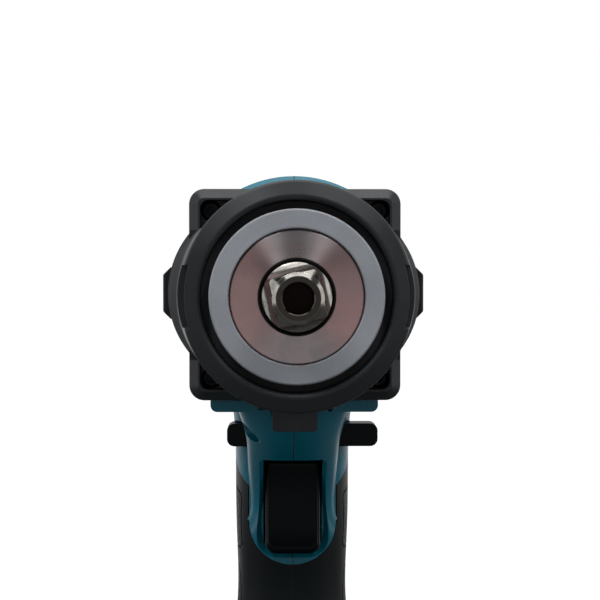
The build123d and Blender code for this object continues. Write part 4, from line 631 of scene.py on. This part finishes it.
def add_mesh(name, points, faces):
    """Object at the origin with these points and faces."""
    mesh = bpy.data.meshes.new(name)
    mesh.from_pydata(points.tolist(), [], faces)
    made = bpy.data.objects.new(name, mesh)
    bpy.context.scene.collection.objects.link(made)
    return made


def closed_forms(name, points):
    """Separate closed forms: each is a row of rings, with walls between them and a cap at each end."""
    index = np.arange(points[..., 0].size).reshape(points.shape[:3])
    ahead = np.roll(index, -1, axis=2)
    walls = np.stack([index[:, :-1], ahead[:, :-1], ahead[:, 1:], index[:, 1:]], axis=-1).reshape(-1, 4)
    caps = np.concatenate([index[:, -1], index[:, 0, ::-1]])
    return add_mesh(name, points.reshape(-1, 3), walls.tolist() + caps.tolist())


def bosses(name, centres, across, along, outward, rings, sides, power):
    """Low bosses on a surface, each closed above and below.

    Ring k of a boss has a half width, a half length and a height. Its point at angle t lies at the centre,
    plus the half width times cos t along one tangent and the half length times sin t along the other, plus
    the height along the normal. Both waves are raised to a power, below one for squarer outlines.
    """
    turn = 2 * pi * (np.arange(sides) + 0.5) / sides
    wave = np.stack([np.cos(turn), np.sin(turn)])
    wave = np.sign(wave) * np.abs(wave) ** power
    wide, long, high = (ring[:, None, None] for ring in rings.T)
    spread = wide * wave[0][:, None] * across + long * wave[1][:, None] * along
    return closed_forms(name, centres[:, None, None, :] + spread + high * outward)


def latch_ridges():
    """Three rounded bars across the release latch."""
    low = np.array(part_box("release_latch")[0])
    count = len(RIDGE_RISES)
    centres = np.stack([np.full(count, AXIS_X), np.full(count, low[1]), low[2] + RIDGE_RISES], axis=1)
    return bosses("latch_ridges", centres, X_AXIS, Z_AXIS, -Y_AXIS, RIDGE_RINGS, RIDGE_SIDES, RIDGE_POWER)


def gauge_windows():
    """Four rounded lamp windows in a row on the battery's gauge."""
    low, high = (np.array(corner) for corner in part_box("gauge_panel"))
    count = len(GAUGE_PLACES)
    middle = (low[2] + high[2]) / 2
    centres = np.stack([GAUGE_PLACES, np.full(count, high[1]), np.full(count, middle)], axis=1)
    return bosses("gauge_windows", centres, -X_AXIS, Z_AXIS, Y_AXIS, GAUGE_RINGS, GAUGE_SIDES, GAUGE_POWER)


def mode_windows():
    """Round lamp windows on the mode panel, one above each button."""
    centres = MODE_MIDDLE + MODE_PLACES[:, None] * X_AXIS + MODE_RISE * MODE_SLOPE
    return bosses("mode_windows", centres, X_AXIS, MODE_SLOPE, np.cross(X_AXIS, MODE_SLOPE), MODE_RINGS,
                  MODE_SIDES, MODE_POWER)


def spring(node, axis, wire, turns):
    """Coil spring that fills a node's box: a ring carried along a helix.

    The helix runs about the box's middle line. At turn t its point is the coil's radius along the direction
    at t, and rises evenly. The ring's point at angle a is the wire's radius times cos a along that direction
    and sin a along the one square to it and to the helix.
    """
    low, high = (np.array(corner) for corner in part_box(node))
    along, across, beside = np.roll(np.eye(3), -axis, axis=0)
    size = high - low
    coil = size[(axis + 1) % 3] / 2 - wire
    rise = (size[axis] - 2 * wire) / (2 * pi * turns)
    turn = np.linspace(0, 2 * pi * turns, STEPS_PER_TURN * turns + 1)[:, None]
    outward = np.cos(turn) * across + np.sin(turn) * beside
    heading = coil * (np.cos(turn) * beside - np.sin(turn) * across) + rise * along
    heading = heading / np.linalg.norm(heading, axis=1, keepdims=True)
    path = (low + high) / 2 + coil * outward + rise * (turn - pi * turns) * along
    ring = np.linspace(0, 2 * pi, WIRE_SIDES, endpoint=False)[None, :, None]
    round_wire = np.cos(ring) * outward[:, None] + np.sin(ring) * np.cross(heading, outward)[:, None]
    made = closed_forms(node + "_coil", (path[:, None] + wire * round_wire)[None])
    made.data.shade_smooth()
    return made


def fit_out(piece, body, material):
    """Give a new piece its material and the body it rides on."""
    piece.data.materials.append(material)
    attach(piece, body)


for node, (body, joint, axis, fixed, wire, turns) in SPRINGS.items():
    coil_spring = spring(node, axis, wire, turns)
    fit_out(coil_spring, body, FINISHES["bright_steel"])
    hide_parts(node)
    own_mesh(coil_spring)

fit_out(latch_ridges(), "latch", case_plastic)
fit_out(gauge_windows(), "battery", FINISHES["frosted_lens"])
fit_out(mode_windows(), "tool", FINISHES["frosted_lens"])


# Studio
def lamp(name, place, size, power):
    """Rectangular soft lamp that faces the tool."""
    data = bpy.data.lights.new(name, "AREA")
    data.shape = "RECTANGLE"
    data.size, data.size_y = size
    data.energy = power
    made = bpy.data.objects.new(name, data)
    made.location = place
    made.rotation_euler = Vector(np.subtract(LAMP_TARGET, place)).to_track_quat("-Z", "Y").to_euler()
    bpy.context.scene.collection.objects.link(made)


def camera():
    """Camera at the photograph's viewing angle."""
    data = bpy.data.cameras.new("camera")
    data.sensor_width = CAMERA_FRAME
    data.lens = CAMERA_LENS
    data.clip_start = CAMERA_NEAR
    made = bpy.data.objects.new("camera", data)
    made.location = CAMERA_PLACE
    made.rotation_euler = (CAMERA_PITCH, 0.0, CAMERA_YAW)
    bpy.context.scene.collection.objects.link(made)
    bpy.context.scene.camera = made


def world():
    """Dim room, paler in front.

    It is white to the camera and through glass, and behind and above the tool to reflections.
    """
    made = bpy.data.worlds.new("studio")
    bpy.context.scene.world = made
    made.use_nodes = True
    g = Graph(made.node_tree)
    back = made.node_tree.nodes["Background"]
    light = g.add("ShaderNodeLightPath").outputs
    direction = g.split(g.add("ShaderNodeTexCoord").outputs["Generated"])
    backdrop = g.math("MULTIPLY", g.span(direction["Y"], *BACKDROP_SIDES, 0.0, 1.0),
                      g.span(direction["Z"], *BACKDROP_RISE, BACKDROP_FOOT, 1.0))
    direct = g.math("MAXIMUM", light["Is Camera Ray"], light["Is Transmission Ray"])
    seen = g.math("MAXIMUM", g.math("MULTIPLY", light["Is Glossy Ray"], backdrop), direct)
    level = g.math("MULTIPLY", g.span(direction["Z"], *FRONT_RISE, 0.0, 1.0),
                   g.span(direction["Z"], *FRONT_TOP, 1.0, FRONT_TOP_LEVEL))
    ahead = g.math("MULTIPLY", g.span(direction["Y"], *FRONT_SIDES, 0.0, 1.0), level)
    g.feed(back.inputs["Color"], g.tint(seen, g.tint(ahead, ROOM, ROOM_FRONT), WHITE))
    back.inputs["Strength"].default_value = 1.0


def floor():
    """Pale floor; what the camera and reflections see of it is lifted to white, with the shadow kept."""
    x, y = (side.ravel() for side in np.meshgrid((-FLOOR_HALF, FLOOR_HALF), (-FLOOR_HALF, FLOOR_HALF)))
    made = add_mesh("floor", np.stack([x, y, np.zeros(4)], axis=1), [(0, 1, 3, 2)])
    material, g, shader, coords = new_material("pale_floor")
    speckle = g.noise(coords, FLOOR_SPECKLE, detail=3.0)
    light = g.add("ShaderNodeLightPath").outputs
    place = g.split(coords)
    mirrored = g.math("MAXIMUM", light["Is Glossy Ray"], light["Is Transmission Ray"])
    clear = g.math("MAXIMUM", g.span(place["Y"], *FLOOR_BEHIND, 0.0, 1.0),
                   g.span(place["Y"], *FLOOR_AHEAD, 0.0, FLOOR_AHEAD_LEVEL))
    seen = g.math("MAXIMUM", light["Is Camera Ray"], g.math("MULTIPLY", mirrored, clear))
    away = g.length(place["X"], place["Y"])
    lift = g.math("MULTIPLY", seen, g.span(away, *FLOOR_AROUND, FLOOR_NEAR_LEVEL, 1.0))
    set_plain(shader, Roughness=0.9, Specular_IOR_Level=0.1, Emission_Strength=1.0)
    g.feed(shader.inputs["Base Color"], g.tint(speckle, FLOOR_DARK, FLOOR_PALE))
    g.feed(shader.inputs["Emission Color"], toned(g, WHITE, lift))
    made.data.materials.append(material)


camera()
world()
floor()
for name, (place, size, power) in LAMPS.items():
    lamp(name, place, size, power)

bpy.context.scene.view_settings.view_transform = "Standard"
